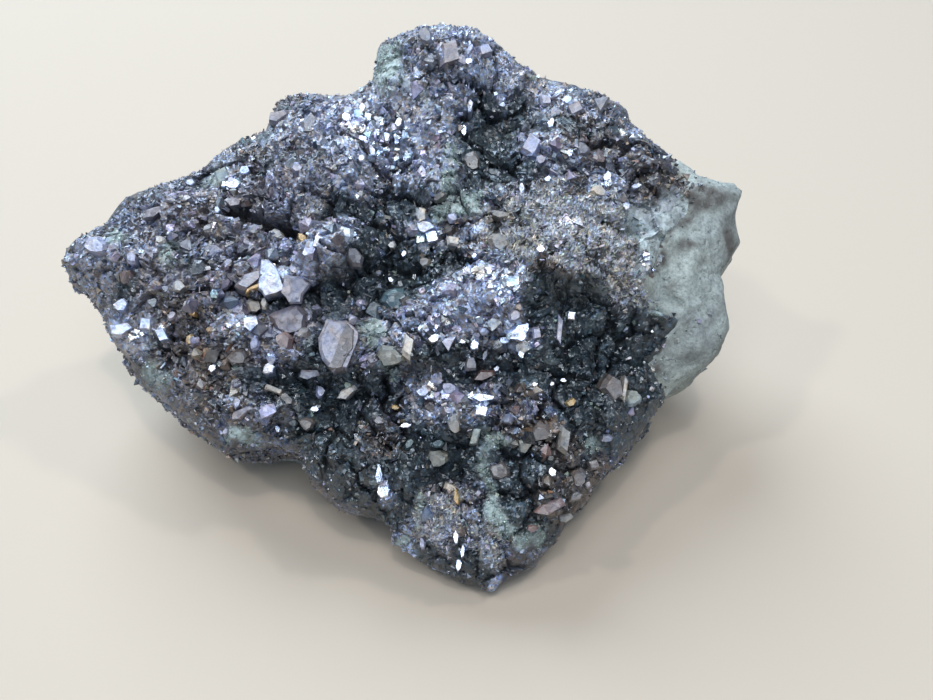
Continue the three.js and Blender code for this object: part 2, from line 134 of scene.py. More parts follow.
CALM_SIDE = 0.3  # the rock's relief near the crust's edge, as a share of the rest
CALM_REACH = 6  # the relief is full this much sooner than at the foot
# Random moves of the surfaces' points: size and distance.
CRUST_ROUGHNESS = [(0.9, 0.12), (0.4, 0.06)]
ROCK_ROUGHNESS = [(3.0, 0.3), (1.1, 0.16), (0.45, 0.06)]
LOWEST = 0.05  # all but the flat foot stays this high
# Chunks of the crust's ground: width, rise of their tops, depth and width of the gaps between them.
CHUNKS = [(2.3, 0.75, 0.95, 0.15), (0.95, 0.36, 0.30, 0.14)]
CHUNK_WANDER, CHUNK_WANDER_WIDTH = 0.3, 0.6  # how ragged their edges are, in their own width
CHUNK_STEP, CHUNK_TIP = 0.6, 1.1  # how unlike their heights are, and how far they tip
GAP_PATCHES = (1.3, 0.5, 1.6)  # width, mean and contrast of the patches where gaps are open
CLEAR_GAP = 0.32  # crystals stay out of gaps that are deeper than this share
FINE_TIPS = (0.4, 0.10)  # size and depth of the finest crystal tips
SLIT = (-12.0, 5.5, 2.7, 0.32, -21)  # sharp bottom of the crevice: a, b, half-length, half-width, turn
SLIT_DEPTH = 3.4
SLIT_CLEARANCE = 1.6  # crystals stay out of this many times its width
# Steep knobs of the crust: a, b, half-width, half-height, turn, rise.
KNOBS = [(-6.7, 2.4, 2.0, 1.8, -10, 1.7), (-2.7, 8.1, 1.1, 1.3, -20, 0.8), (-2.4, -4.6, 1.3, 1.0, 0, 0.6),
         (8.6, -14.2, 1.4, 0.8, 12, 0.7), (-4.4, -12.0, 1.4, 1.1, -30, 0.6), (6.1, 17.2, 1.0, 1.0, 0, 0.3),
         (-0.4, -11.0, 1.4, 1.0, 0, 0.4), (11.4, 10.2, 1.4, 1.1, -30, 0.6), (-18.6, 6.6, 1.6, 1.2, 20, 0.5),
         (-9.6, -7.8, 1.6, 1.0, 0, 0.6), (0.5, 17.6, 1.3, 1.3, 10, 0.2), (8.4, -8.8, 1.3, 1.2, 0, 0.6)]
KNOB_COVER = 0.3  # of the crystals on the first and largest knob, whose own faces show, this share stays
THIN_EDGE = 0.16  # the share of the face over which the crust thins to the bare rock
THIN_CRUST, SUNK_EDGE = 0.15, 0.5  # how far it stands over the rock there, and how far its very edge sinks
THIN_RELIEF = 0.5  # how much of its relief it keeps there
THIN_DUST, THIN_CALM = 0.9, 0.8  # how thin it is where it is dusty, and how much of its chunks goes there
FULL_MISSING = 0.05  # it thins only where at least this share of the face is bare
RIM_FADE, SUNK_FADE = 12, 30  # powers of the share of the face by which relief fades and the edge sinks
ROCK_LAP = 0.07  # the rock's skin reaches this share of the face under it
LEAST_CRUST = 0.35  # the crust is nowhere thinner than this
BARE_FROM = 1.002  # columns of the rim this far out, as a share of the crust's outline, are bare rock's
ON_RIM = 0.99  # and the crust's edge from this share of the face on wraps over the rim

# ---------------------------------------------------------------- noise

HASH_STEPS = (127.1, 311.7, 74.7)
HASH_NEXT = 53.3
HASH_SPREAD = 43758.5453
FACET_JITTER, FACET_STEP, FACET_TIP = 0.4, 0.4, 0.9
CHUNK_JITTER = 0.42


def fraction(value):
    return value - np.floor(value)


def eased(u):
    """A share from 0 to 1 that starts and ends gently."""
    return u * u * (3 - 2 * u)


def hashed(seed):
    """A number from -1 to 1 for each seed, random to the eye."""
    return 2 * fraction(np.sin(seed) * HASH_SPREAD) - 1


def cell_seed(i, j, k=0):
    """One number for a cell of whole numbers."""
    return i * HASH_STEPS[0] + j * HASH_STEPS[1] + k * HASH_STEPS[2]


def cell_numbers(i, j, k):
    """Three random numbers of a cell."""
    seed = cell_seed(i, j, k)
    return [hashed(seed + n * HASH_NEXT) for n in (1, 2, 3)]


def noise(x, y):
    """A smooth random surface with bumps one unit across, from -1 to 1: the solids' own."""
    i, j = np.floor(x), np.floor(y)
    u, v = eased(x - i), eased(y - j)
    low = hashed(cell_seed(i, j)) * (1 - u) + hashed(cell_seed(i + 1, j)) * u
    high = hashed(cell_seed(i, j + 1)) * (1 - u) + hashed(cell_seed(i + 1, j + 1)) * u
    return low * (1 - v) + high * v


def facets(points, size):
    """A surface of flat facets of a size, each tipped its own way, from -1 to 1: the solids' own."""
    x, y, z = (points / size).T
    nearest = np.full(len(x), np.inf)
    value = np.zeros(len(x))
    for n in range(27):
        i, j, k = np.floor(x) + n % 3 - 1, np.floor(y) + n // 3 % 3 - 1, np.floor(z) + n // 9 - 1
        p, q, r = cell_numbers(i, j, k)
        dx = x - i - 0.5 - FACET_JITTER * p
        dy = y - j - 0.5 - FACET_JITTER * q
        dz = z - k - 0.5 - FACET_JITTER * r
        distance = dx * dx + dy * dy + dz * dz
        closer = distance < nearest
        nearest = np.where(closer, distance, nearest)
        value = np.where(closer, FACET_STEP * p + FACET_TIP * (q * dx + r * dy + p * dz), value)
    return value


def soft_facets(points, size, softness=0.2):
    """The facets with their steps spread over a width, so that fine surfaces take them cleanly."""
    steps = softness * np.vstack([np.eye(3), -np.eye(3)])
    return sum(facets(points + step, size) for step in steps) / len(steps)


def noise3(points, size, seed=0.0):
    """Smooth random numbers in space, from -1 to 1."""
    cell = np.floor(points / size)
    u = eased(points / size - cell)
    total = np.zeros(len(points))
    for corner in range(8):
        step = np.array([corner & 1, corner >> 1 & 1, corner >> 2 & 1])
        value = hashed(cell_seed(*(cell + step).T) + seed)
        total += value * np.prod(np.where(step == 1, u, 1 - u), axis=1)
    return total


# ---------------------------------------------------------------- the crystal face


def outline_reach(outline, angle):
    """How far an outline lies from the face's centre in each direction."""
    points = np.array(outline)
    angles = np.unwrap(np.arctan2(points[:, 1], points[:, 0]))
    first = angles[0]
    angles = np.append(angles, first + 2 * math.pi)
    points = np.vstack([points, points[:1]])
    at = np.searchsorted(angles, first + np.mod(angle - first, 2 * math.pi), side="right") - 1
    at = np.clip(at, 0, len(points) - 2)
    p, edge = points[at], points[at + 1] - points[at]
    across = np.cos(angle) * edge[:, 1] - np.sin(angle) * edge[:, 0]
    return (p[:, 0] * edge[:, 1] - p[:, 1] * edge[:, 0]) / across


def outline_share(outline, a, b):
    """Where points lie between the face's centre, 0, and an outline, 1."""
    return np.hypot(a, b) / outline_reach(outline, np.arctan2(b, a))


def face_share(a, b):
    """The share of the face, no more than 1."""
    return np.minimum(outline_share(FACE_OUTLINE, a, b), 1)


def crust_outline():
    """The crust's outline on the face: the rim, and the bare rock's edge on the right."""
    low, high = (math.atan2(b, a) for a, b in (BARE_EDGE[0], BARE_EDGE[-1]))
    angles = [math.atan2(b, a) for a, b in FACE_OUTLINE]
    before = next(i for i, angle in enumerate(angles) if angle > low)
    after = next(i for i, angle in enumerate(angles) if angle > high)
    return FACE_OUTLINE[:before] + BARE_EDGE + FACE_OUTLINE[after:]


CRUST_OUTLINE = crust_outline()


def broad_swell(share):
    """Height of the face's one broad swell."""
    return FACE_SWELL * np.sqrt(np.maximum(0, 1 - share**2.4))


def turned(a, b, form_a, form_b, turn):
    """Where points lie in a form's own turned frame."""
    cos, sin = math.cos(math.radians(turn)), math.sin(math.radians(turn))
    return (a - form_a) * cos + (b - form_b) * sin, (b - form_b) * cos - (a - form_a) * sin


def spot(a, b, middle_a, middle_b, wide, tall, turn):
    """A soft spot of a half-width and a half-height: 1 in its middle, and fading round it."""
    along, across = turned(a, b, middle_a, middle_b, turn)
    return np.exp(-((along / wide) ** 2) - (across / tall) ** 2)


def face_height(a, b):
    """Height of the face over its plane: the solids' own."""
    share = face_share(a, b)
    height = broad_swell(share)
    for *lump, rise in SWELLS:
        height = height + rise * spot(a, b, *lump)
    for ledge_a, ledge_b, length, turn, drop in LEDGES:
        along, across = turned(a, b, ledge_a, ledge_b, turn)
        below = 0.5 * (1 - np.tanh(across / LEDGE_STEEPNESS))
        fade = np.exp(-((along / length) ** 4) - (np.minimum(across, 0) / LEDGE_REACH) ** 2)
        height = height - drop * below * fade
    relief = FACET_DEPTH * facets(np.column_stack([a, b, 0 * a]), FACET_SIZE)
    for size, rise in BUMPS:
        relief = relief + rise * noise(a / size, b / size)
    return height + relief * (1 - share**8)


def bed_height(a, b):
    """Height of the smooth bed between the crust and the rock."""
    return broad_swell(face_share(a, b)) - CRUST_THICKNESS


def bare_height(a, b):
    """Height of the bare rock over the face's plane."""
    return face_height(a, b) - BARE_ROCK_DROP * (1 - outline_share(FACE_OUTLINE, a, b) ** 8)


def face_to_part(vectors):
    """Directions of the face's own frame in the part's frame."""
    a, b, out = vectors.T
    return np.column_stack([a, b * LEAN_COS - out * LEAN_SIN, b * LEAN_SIN + out * LEAN_COS])


def leaned(a, b, out):
    """Points of the face's own frame in the part's frame."""
    return FACE_CENTRE + face_to_part(np.column_stack([a, b, out]))


def face_places(points):
    """a and b of points of the part's frame."""
    away = points - FACE_CENTRE
    return away[:, 0], away[:, 1] * LEAN_COS + away[:, 2] * LEAN_SIN


def depth_below(points):
    """How far points of the part's frame lie under the face's plane."""
    return -((points - FACE_CENTRE) @ np.array([0, -LEAN_SIN, LEAN_COS]))


def outward_of(rim):
    """Level directions from the foot's centre to points of the rim."""
    outward = (rim - FOOT_CENTRE) * (1, 1, 0)
    return outward / np.linalg.norm(outward, axis=1, keepdims=True)


def side_points(rim, depth):
    """Points of the broken side: depth 0 is at the rim and 1 at the foot."""
    foot = FOOT_CENTRE + FOOT_SHARE * ((rim - FOOT_CENTRE) * (1, 1, 0))
    points = rim + (foot - rim) * depth[:, None]
    relief = FRACTURE_DEPTH * soft_facets(points - FACE_CENTRE * (1, 1, 0), FRACTURE_SIZE)
    swell = SIDE_SWELL * rim[:, 2] / (2 * FACE_CENTRE[2]) + relief
    points = points + outward_of(rim) * (swell * np.sin(np.pi * depth))[:, None]
    points[:, 2] = np.where(depth < 1, np.maximum(points[:, 2], SIDE_CLEARANCE), 0)
    return points


def chunks(a, b, size):
    """Uneven chunks of a size: how high each point stands, how far it is from a gap, each chunk's lot."""
    wander, width = CHUNK_WANDER * size, CHUNK_WANDER_WIDTH * size
    a = a + wander * noise(a / width, b / width)
    b = b + wander * noise(a / width + 57, b / width)
    x, y = a / size, b / size
    first, second = np.full(len(x), np.inf), np.full(len(x), np.inf)
    height, lot = np.zeros(len(x)), np.zeros(len(x))
    for n in range(9):
        i, j = np.floor(x) + n % 3 - 1, np.floor(y) + n // 3 - 1
        p, q, r = cell_numbers(i, j, 7 * size)
        dx, dy = x - i - 0.5 - CHUNK_JITTER * p, y - j - 0.5 - CHUNK_JITTER * q
        distance = np.hypot(dx, dy)
        closer = distance < first
        second = np.where(closer, first, np.minimum(second, distance))
        first = np.where(closer, distance, first)
        height = np.where(closer, CHUNK_STEP * r + CHUNK_TIP * (p * dy - q * dx), height)
        lot = np.where(closer, fraction(9.7 * r + 3.3 * p), lot)
    return height, second - first, lot


def chunk_relief(a, b):
    """Rise of the ground over the face, how deep it lies in gaps (0 to 1), and its chunks' lots."""
    rise, gap, lots = np.zeros(len(a)), np.zeros(len(a)), []
    patch, mean, contrast = GAP_PATCHES
    for size, tops, depth, width in CHUNKS:
        height, away, lot = chunks(a, b, size)
        open_here = np.clip(mean + contrast * noise(a / (patch * size) + 7, b / (patch * size)), 0, 1)
        hollow = open_here * np.exp(-((away / width) ** 2))
        rise += tops * height - depth * hollow
        gap = np.maximum(gap, hollow * np.clip(0.5 - height, 0, 1))
        lots.append(lot)
    size, depth = FINE_TIPS
    rise += depth * facets(np.column_stack([a, b, rise]), size)
    return rise, gap, lots


def in_slit(a, b, widening=1.0):
    """How far into the crevice's sharp bottom points lie, from 0 to 1."""
    slit_a, slit_b, length, width, turn = SLIT
    along, across = turned(a, b, slit_a, slit_b, turn)
    across = across + 0.2 * noise(a / 0.8, b / 0.8)
    return np.exp(-((along / length) ** 6) - (across / (width * widening)) ** 4)


def knob_rise(a, b):
    """Rise of the crust's steep knobs."""
    rise = np.zeros(len(a))
    for knob_a, knob_b, wide, tall, turn, height in KNOBS:
        along, across = turned(a, b, knob_a, knob_b, turn)
        reach = np.hypot(along / wide, across / tall) * (1 + 0.15 * noise(a / 0.9 + 5, b / 0.9))
        rise += height * np.sqrt(np.clip(1 - reach**4, 0, 1))
    return rise


def near_bare_rock(a, b):
    """From 0 inside the crust to 1 where it ends on the bare rock."""
    angle = np.arctan2(b, a)
    reach = outline_reach(CRUST_OUTLINE, angle)
    missing = 1 - reach / outline_reach(FACE_OUTLINE, angle)
    share = np.clip((np.hypot(a, b) / reach - 1 + THIN_EDGE) / THIN_EDGE, 0, 1)
    return share * np.clip(missing / FULL_MISSING, 0, 1)


def ground_height(a, b):
    """Height of the crust's ground over the face's plane."""
    share = np.minimum(outline_share(CRUST_OUTLINE, a, b), 1)
    inside = 1 - share**RIM_FADE
    dusty = zone_weights(a, b)[:, KINDS.index("dust")]
    thin = np.maximum(near_bare_rock(a, b), THIN_DUST * dusty)
    relief = chunk_relief(a, b)[0] * (1 - THIN_CALM * thin) + knob_rise(a, b)
    height = face_height(a, b) + inside * relief - SLIT_DEPTH * in_slit(a, b)
    low = bare_height(a, b) + THIN_CRUST + THIN_RELIEF * inside * relief - SUNK_EDGE * share**SUNK_FADE
    height = height + (low - height) * thin**2
    return np.maximum(height, bed_height(a, b) + LEAST_CRUST * inside)


# ---------------------------------------------------------------- closed surfaces from rings


def disc(rings):
    """Share and turn of a disc's points, and its triangles. Ring k has 6k points."""
    share, turn, triangles = [0.0], [0.0], []
    first = [0] + [1 + 3 * k * (k - 1) for k in range(1, rings + 1)]
    for k in range(1, rings + 1):
        count = 6 * k
        share.extend([k / rings] * count)
        turn.extend(np.arange(count) / count)
        outer = np.arange(count)
        sector, step = outer // k, outer % k
        inner = sector * (k - 1) + step
        inner_count = max(1, 6 * (k - 1))
        here = np.column_stack([first[k] + outer, first[k] + (outer + 1) % count,
                                first[k - 1] + inner % inner_count])
        triangles.append(here)
        between = step < k - 1
        triangles.append(np.column_stack([first[k - 1] + inner % inner_count, first[k] + (outer + 1) % count,
                                          first[k - 1] + (inner + 1) % inner_count])[between])
    return np.array(share), np.array(turn), np.vstack(triangles)


def walk(outline, way):
    """a and b of points of an outline, each at its share of the way round it."""
    corners = np.array(outline + outline[:1])
    length = np.append(0, np.cumsum(np.linalg.norm(np.diff(corners, axis=0), axis=1)))
    return [np.interp(way * length[-1], length, axis) for axis in corners.T]


def disc_on(outline, rings):
    """Share, turn, a and b of a disc's points that fill an outline, and the disc's triangles."""
    share, turn, triangles = disc(rings)
    a, b = walk(outline, turn)
    return share, turn, a * share, b * share, triangles


def closed_surface(top, triangles, rings, closing):
    """Points and triangles of a disc on top, rings below it in order, and a last ring closed by a fan."""
    count = len(rings[0])
    upper = np.arange(len(top) - count, len(top))
    points, faces = [top], [triangles]
    total = len(top)
    for ring in rings:
        lower = total + np.arange(count)
        faces.append(np.column_stack([upper, lower, np.roll(upper, -1)]))
        faces.append(np.column_stack([np.roll(upper, -1), lower, np.roll(lower, -1)]))
        points.append(ring)
        total += count
        upper = lower
    points.append(closing[None, :])
    faces.append(np.column_stack([np.full(count, total), np.roll(upper, -1), upper]))
    return np.vstack(points), np.vstack(faces)


def rim_walk(count):
    """Directions of points at even steps along the face's outline."""
    a, b = walk(FACE_OUTLINE, np.arange(count) / count)
    return np.arctan2(b, a)


def rim_at(angles):
    """a, b and the place of the face's rim in directions."""
    reach = outline_reach(FACE_OUTLINE, angles)
    a, b = np.cos(angles) * reach, np.sin(angles) * reach
    return a, b, leaned(a, b, face_height(a, b))


def side_depth(rim, under):
    """How deep on the side, from 0 to 1, each column reaches a distance under the face's plane."""
    low, high = np.zeros(len(rim)), np.full(len(rim), DEEPEST_EDGE)
    for _ in range(HALVINGS):
        middle = (low + high) / 2
        deeper = depth_below(side_points(rim, middle)) > under
        low, high = np.where(deeper, low, middle), np.where(deeper, middle, high)
    return low


def crust_depths():
    """Directions round the face, and how deep on the side, from 0 to 1, the crust reaches there."""
    angles = np.sort(rim_walk(1500))
    return angles, side_depth(rim_at(angles)[2], CRUST_THICKNESS + CRUST_LAP)


CRUST_DEPTHS = crust_depths()


def crust_side(rim, a, b, down):
    """Points of the crust's broken side under a rim: down is 0 at the rim and 1 at its lower edge."""
    lowest = np.interp(np.arctan2(b, a), *CRUST_DEPTHS, period=2 * math.pi)
    points = side_points(rim, lowest * down)
    out = CRUST_PROUD * np.minimum(1, PROUD_FROM * down)
    for size, depth in CRUST_SIDE_RELIEF:
        out = out + depth * soft_facets(points, size, SIDE_SOFTNESS[0]) * np.sin(np.pi * down)
    return points + outward_of(rim) * out[:, None]


def is_bare(a, b):
    """Whether columns of the outline stand in the bare rock's sector."""
    return outline_share(CRUST_OUTLINE, a, b) > BARE_FROM


def set_colours(piece, name, colours):
    """A colour for each point, which the materials read by name."""
    attribute = piece.data.color_attributes.new(name, "FLOAT_COLOR", "POINT")
    rgba = np.column_stack([colours, np.ones(len(colours))]).astype(np.float32)
    attribute.data.foreach_set("color", rgba.ravel())


def set_values(piece, name, values):
    """A number for each point, which the materials read by name."""
    attribute = piece.data.attributes.new(name, "FLOAT", "POINT")
    attribute.data.foreach_set("value", values.astype(np.float32))


def added(name, data):
    """A new object of the scene."""
    piece = bpy.data.objects.new(name, data)
    bpy.context.scene.collection.objects.link(piece)
    return piece


def make_object(name, points, faces, material, smooth=False):
    """An object of triangles, from points in millimetres."""
    mesh = bpy.data.meshes.new(name)
    mesh.vertices.add(len(points))
    mesh.vertices.foreach_set("co", (points * MM).astype(np.float32).ravel())
    mesh.loops.add(3 * len(faces))
    mesh.loops.foreach_set("vertex_index", faces.astype(np.int32).ravel())
    mesh.polygons.add(len(faces))
    mesh.polygons.foreach_set("loop_start", np.arange(0, 3 * len(faces), 3, dtype=np.int32))
    mesh.polygons.foreach_set("use_smooth", np.full(len(faces), smooth))
    mesh.update(calc_edges=True)
    mesh.materials.append(material)
    return added(name, mesh)


# ---------------------------------------------------------------- the crust's ground and the rock

PAINT_SLIDE = 0.8  # down the side, lots are read this far along for each mm, so that they don't streak
PATCHES = [(1.0, 1.7, 3.0), (0.6, 0.8, 5.0)]  # strength, size and seed of its brighter patches
PATCH_CONTRAST = (0.35, 0.2)  # how much patches change the share that is bright, and its colour
# Painted shade in the gaps between chunks and in the crevice's bottom: how much it darkens the ground's
# colour there, and how much it thins the bright flecks in the gaps.
GAP_PAINTED_SHADE, SLIT_PAINTED_SHADE = 0.8, 0.95
GAP_FLECK_PAINTED_SHADE = 0.85
DEEP_TINT = 0.25  # how much of the bright colour the places between have


def drawn(lot, palette):
    """The colours of a palette that lots from 0 to 1 fall on."""
    colours, shares = zip(*palette)
    limits = np.cumsum(shares) / sum(shares)
    return np.array(colours)[np.minimum(np.searchsorted(limits, lot), len(colours) - 1)]


def paint_ground(piece, points):
    """Deep and bright colours of the ground, how much of it is bright, and how fibrous and dull it is, with
    painted shade in its gaps and in the crevice's bottom.
    """
    a, b = face_places(points)
    weights = zone_weights(a, b)
    under = np.maximum(0, ground_height(a, b) + depth_below(points) - 0.5)
    _, gap, lots = chunk_relief(a + PAINT_SLIDE * under, b - PAINT_SLIDE * under)
    slit = in_slit(a, b)
    patches = sum(strength * noise3(points, size, seed) for strength, size, seed in PATCHES)
    bright = np.zeros((len(points), 3))
    for column, kind in enumerate(KINDS):
        tint = sum(drawn(lot, GROUND_TINTS[kind]) for lot in lots) / len(lots)
        bright += weights[:, column, None] * tint
    deep, share, dull, fibre = (weights @ np.array(column) for column in zip(*map(GROUND.get, KINDS)))
    share = np.clip(share * (1 + PATCH_CONTRAST[0] * patches), 0.02, 0.97)
    # Painted shade: darker colour and fewer bright flecks in the gaps and in the crevice's bottom.
    dark = (1 - GAP_PAINTED_SHADE * gap) * (1 - SLIT_PAINTED_SHADE * slit)
    set_colours(piece, "deep", (DEEP_TINT * bright + deep) * dark[:, None])
    set_colours(piece, "bright", GROUND_LIGHTNESS * bright * np.exp(PATCH_CONTRAST[1] * patches)[:, None])
    set_values(piece, "share", share * (1 - GAP_FLECK_PAINTED_SHADE * gap) * (1 - slit))
    set_values(piece, "fibre", fibre)
    set_values(piece, "dull", dull)


def roughened(points, steps, share=None):
    """Points moved by smooth random vectors: steps are of size and distance. The flat foot stays."""
    share = np.ones(len(points)) if share is None else share
    moved = points.copy()
    free = points[:, 2] > 1e-6
    for n, (size, distance) in enumerate(steps):
        for axis in range(3):
            away = distance * noise3(points[free], size, seed=17.3 * (3 * n + axis + 1))
            moved[free, axis] += share[free] * away
    moved[free, 2] = np.maximum(moved[free, 2], LOWEST)
    return moved


def crust_ground(material):
    """The crust between its standing crystals: a rough skin, its edge, and its bed."""
    _, _, a, b, triangles = disc_on(CRUST_OUTLINE, CRUST_RINGS)
    out = ground_height(a, b)
    top = leaned(a, b, out)
    count = 6 * CRUST_RINGS
    rim_a, rim_b, rim_out, rim = a[-count:], b[-count:], out[-count:], top[-count:]
    on_rim = outline_share(FACE_OUTLINE, rim_a, rim_b) > ON_RIM
    bed = bed_height(rim_a, rim_b) - CRUST_LAP
    rings = []
    for step in range(1, CRUST_SIDE_RINGS + 1):
        down = step / CRUST_SIDE_RINGS
        wrapped = crust_side(rim, rim_a, rim_b, np.full(count, down))
        wall = leaned(rim_a, rim_b, rim_out + (bed - rim_out) * down)
        rings.append(np.where(on_rim[:, None], wrapped, wall))
    for inward in BED_RINGS:
        rings.append(leaned(rim_a * inward, rim_b * inward, bed_height(rim_a * inward, rim_b * inward)))
    centre = leaned(*np.array([[0.0], [0.0], [FACE_SWELL - CRUST_THICKNESS]]))[0]
    points, faces = closed_surface(top, triangles, rings, centre)
    points = roughened(points, CRUST_ROUGHNESS)
    piece = make_object("crust_ground", points, faces, material)
    paint_ground(piece, points)
    return piece


def rock_top(share, turn, a, b, rim, bare_rim):
    """The rock's top points, bare on the right and hidden under the crust, and which are hidden."""
    ring = turn[-len(rim):]
    bare_column = np.interp(turn, ring, bare_rim, period=1) > 0.01
    under_crust = outline_share(CRUST_OUTLINE, a, b) < np.where(bare_column, 1 - ROCK_LAP, 1)
    bare, bed = bare_height(a, b), bed_height(a, b) - ROCK_GAP
    top = leaned(a, b, np.where(under_crust, np.minimum(bare, bed), bare))
    inner = np.minimum(share, SHOULDER) / np.maximum(share, 1e-9)
    shoulder = leaned(a * inner, b * inner, bed_height(a * inner, b * inner) - ROCK_GAP)
    edge = np.column_stack([np.interp(turn, ring, axis, period=1) for axis in rim.T])
    straight = shoulder + (edge - shoulder) * np.maximum(0, (share - SHOULDER) / (1 - SHOULDER))[:, None]
    top = np.where(bare_column[:, None], top, straight)
    top[-len(rim):] = rim
    top[:, 2] = np.maximum(top[:, 2], SIDE_CLEARANCE)
    return top, under_crust


def rock_side(rim, start, bare_rim):
    """Rings down the rock's broken side from a start on it, and how rough their points are."""
    rings, rough = [], []
    outward = outward_of(rim)
    for step in range(1, ROCK_SIDE_RINGS + 1):
        down = step / ROCK_SIDE_RINGS
        ring = side_points(rim, start + (1 - start) * down)
        free = np.clip(CALM_REACH * down, CALM_SIDE, 1) if step < ROCK_SIDE_RINGS else 0
        free = np.where(bare_rim, min(1, CALM_REACH * down), free)
        relief = sum(depth * soft_facets(ring, size, SIDE_SOFTNESS[1]) for size, depth in ROCK_SIDE_RELIEF)
        moved = relief * (free - CALM_SIDE * (1 - down)).clip(0, 1)
        rings.append(ring + outward * moved[:, None])
        rough.append(np.maximum(free, CALM_SIDE))
    return rings, rough


def rock_surface():
    """Points and triangles of the host rock, and where its top points lie on the face."""
    share, turn, a, b, triangles = disc_on(FACE_OUTLINE, ROCK_RINGS)
    rim_a, rim_b = a[-6 * ROCK_RINGS:], b[-6 * ROCK_RINGS:]
    bare_rim = is_bare(rim_a, rim_b)
    to_bare = np.hypot(rim_a[:, None] - rim_a[bare_rim], rim_b[:, None] - rim_b[bare_rim]).min(1)
    full_rim = leaned(rim_a, rim_b, face_height(rim_a, rim_b))
    ramp = np.minimum(to_bare / RAMP, 1)
    start = side_depth(full_rim, CRUST_THICKNESS) * ramp * ramp * (3 - 2 * ramp)
    top, hidden = rock_top(share, turn, a, b, side_points(full_rim, start), bare_rim)
    rings, rough = rock_side(full_rim, start, bare_rim)
    points, faces = closed_surface(top, triangles, rings, FOOT_CENTRE)
    rough = np.concatenate([np.where(hidden, CALM_SIDE, 1.0), *rough, [1.0]])
    return roughened(points, ROCK_ROUGHNESS, rough), faces, a, b


def rock_body(material, surface):
    """The host rock: its bare shoulder, its broken side and its underside."""
    points, faces, top_a, top_b = surface
    piece = make_object("rock_body", points, faces, material, smooth=True)
    darkening = np.zeros(len(points))
    for *place, depth in ROCK_DARK_PATCHES:
        darkening[:len(top_a)] += depth * spot(top_a, top_b, *place)
    away = outline_share(CRUST_OUTLINE, top_a, top_b) - 1
    strength, reach = EDGE_DARK_STRIP
    darkening[:len(top_a)] += strength * np.exp(-((away / reach) ** 2)) * (away > 0)
    set_values(piece, "darkening", np.clip(darkening, 0, 1))
    return piece


# ---------------------------------------------------------------- crystal forms

LIMIT_SPREAD = 0.07  # how uneven the distances of a form's faces are


def family(kind):
    """Directions of a crystal's faces: cube, dodecahedron, octahedron or one of its two tetrahedra."""
    signs = (-1, 1)
    if kind == "cube":
        return [tuple(sign * (i == n) for i in range(3)) for n in range(3) for sign in signs]
    if kind == "dodecahedron":
        return [(*pair[:n], 0, *pair[n:]) for n in range(3) for pair in product(signs, repeat=2)]
    corners = list(product(signs, repeat=3))
    if kind == "octahedron":
        return corners
    wanted = 1 if kind == "tetrahedron" else -1
    return [corner for corner in corners if math.prod(corner) == wanted]


def face_fan(corners, normal, limit):
    """Triangles of a convex solid's face, round its first corner."""
    on_face = np.where(np.abs(corners @ normal - limit) < 1e-4)[0]
    if len(on_face) < 3:
        return []
    spread = corners[on_face] - corners[on_face].mean(0)
    across = spread[0] / np.linalg.norm(spread[0])
    order = on_face[np.argsort(np.arctan2(spread @ np.cross(normal, across), spread @ across))]
    return [(order[0], order[n], order[n + 1]) for n in range(1, len(order) - 1)]


def convex(normals, limits):
    """Corners and triangles of the solid inside planes of given directions and distances."""
    corners = []
    for planes in combinations(range(len(normals)), 3):
        system, distances = normals[list(planes)], limits[list(planes)]
        if abs(np.linalg.det(system)) > 1e-3:
            corner = np.linalg.solve(system, distances)
            if np.all(normals @ corner < limits + 1e-7):
                corners.append(corner)
    corners = np.unique(np.round(np.array(corners), 6), axis=0)
    triangles = []
    for normal, limit in zip(normals, limits):
        triangles += face_fan(corners, normal, limit)
    return corners, np.array(triangles)


def form(*cuts, stretch=(1, 1, 1)):
    """A crystal bounded by families of faces, each family at its distance from the middle."""
    normals, limits = [], []
    for kind, distance in cuts:
        for n, direction in enumerate(family(kind)):
            normals.append(np.array(direction) / np.linalg.norm(direction))
            limits.append(distance * (1 + LIMIT_SPREAD * math.sin(5 * n + 3 * len(limits))))
    corners, triangles = convex(np.array(normals), np.array(limits))
    return corners * stretch, triangles


SPHALERITE_FORMS = [
    form(("tetrahedron", 0.317), ("counter", 0.358), ("cube", 0.46)),
    form(("tetrahedron", 0.30), ("counter", 0.40)),
    form(("dodecahedron", 0.38), ("tetrahedron", 0.38)),
    form(("tetrahedron", 0.34), ("counter", 0.36), stretch=(1.15, 1, 0.8)),
    form(("tetrahedron", 0.28), ("counter", 0.38), ("cube", 0.42), stretch=(1, 1.1, 0.7)),
]
GALENA_FORMS = [
    form(("cube", 0.40)),
    form(("cube", 0.40), ("octahedron", 0.58)),
    form(("cube", 0.42), stretch=(1.2, 1, 0.7)),
]
GRAIN_FORMS = [
    form(("octahedron", 0.36)),
    form(("tetrahedron", 0.24)),
    form(("cube", 0.36), stretch=(1, 0.8, 0.7)),
]
BLADE = form(("cube", 0.5), stretch=(0.38, 0.07, 1.0))
NEEDLE = form(("octahedron", 0.5), stretch=(0.12, 0.12, 1.0))
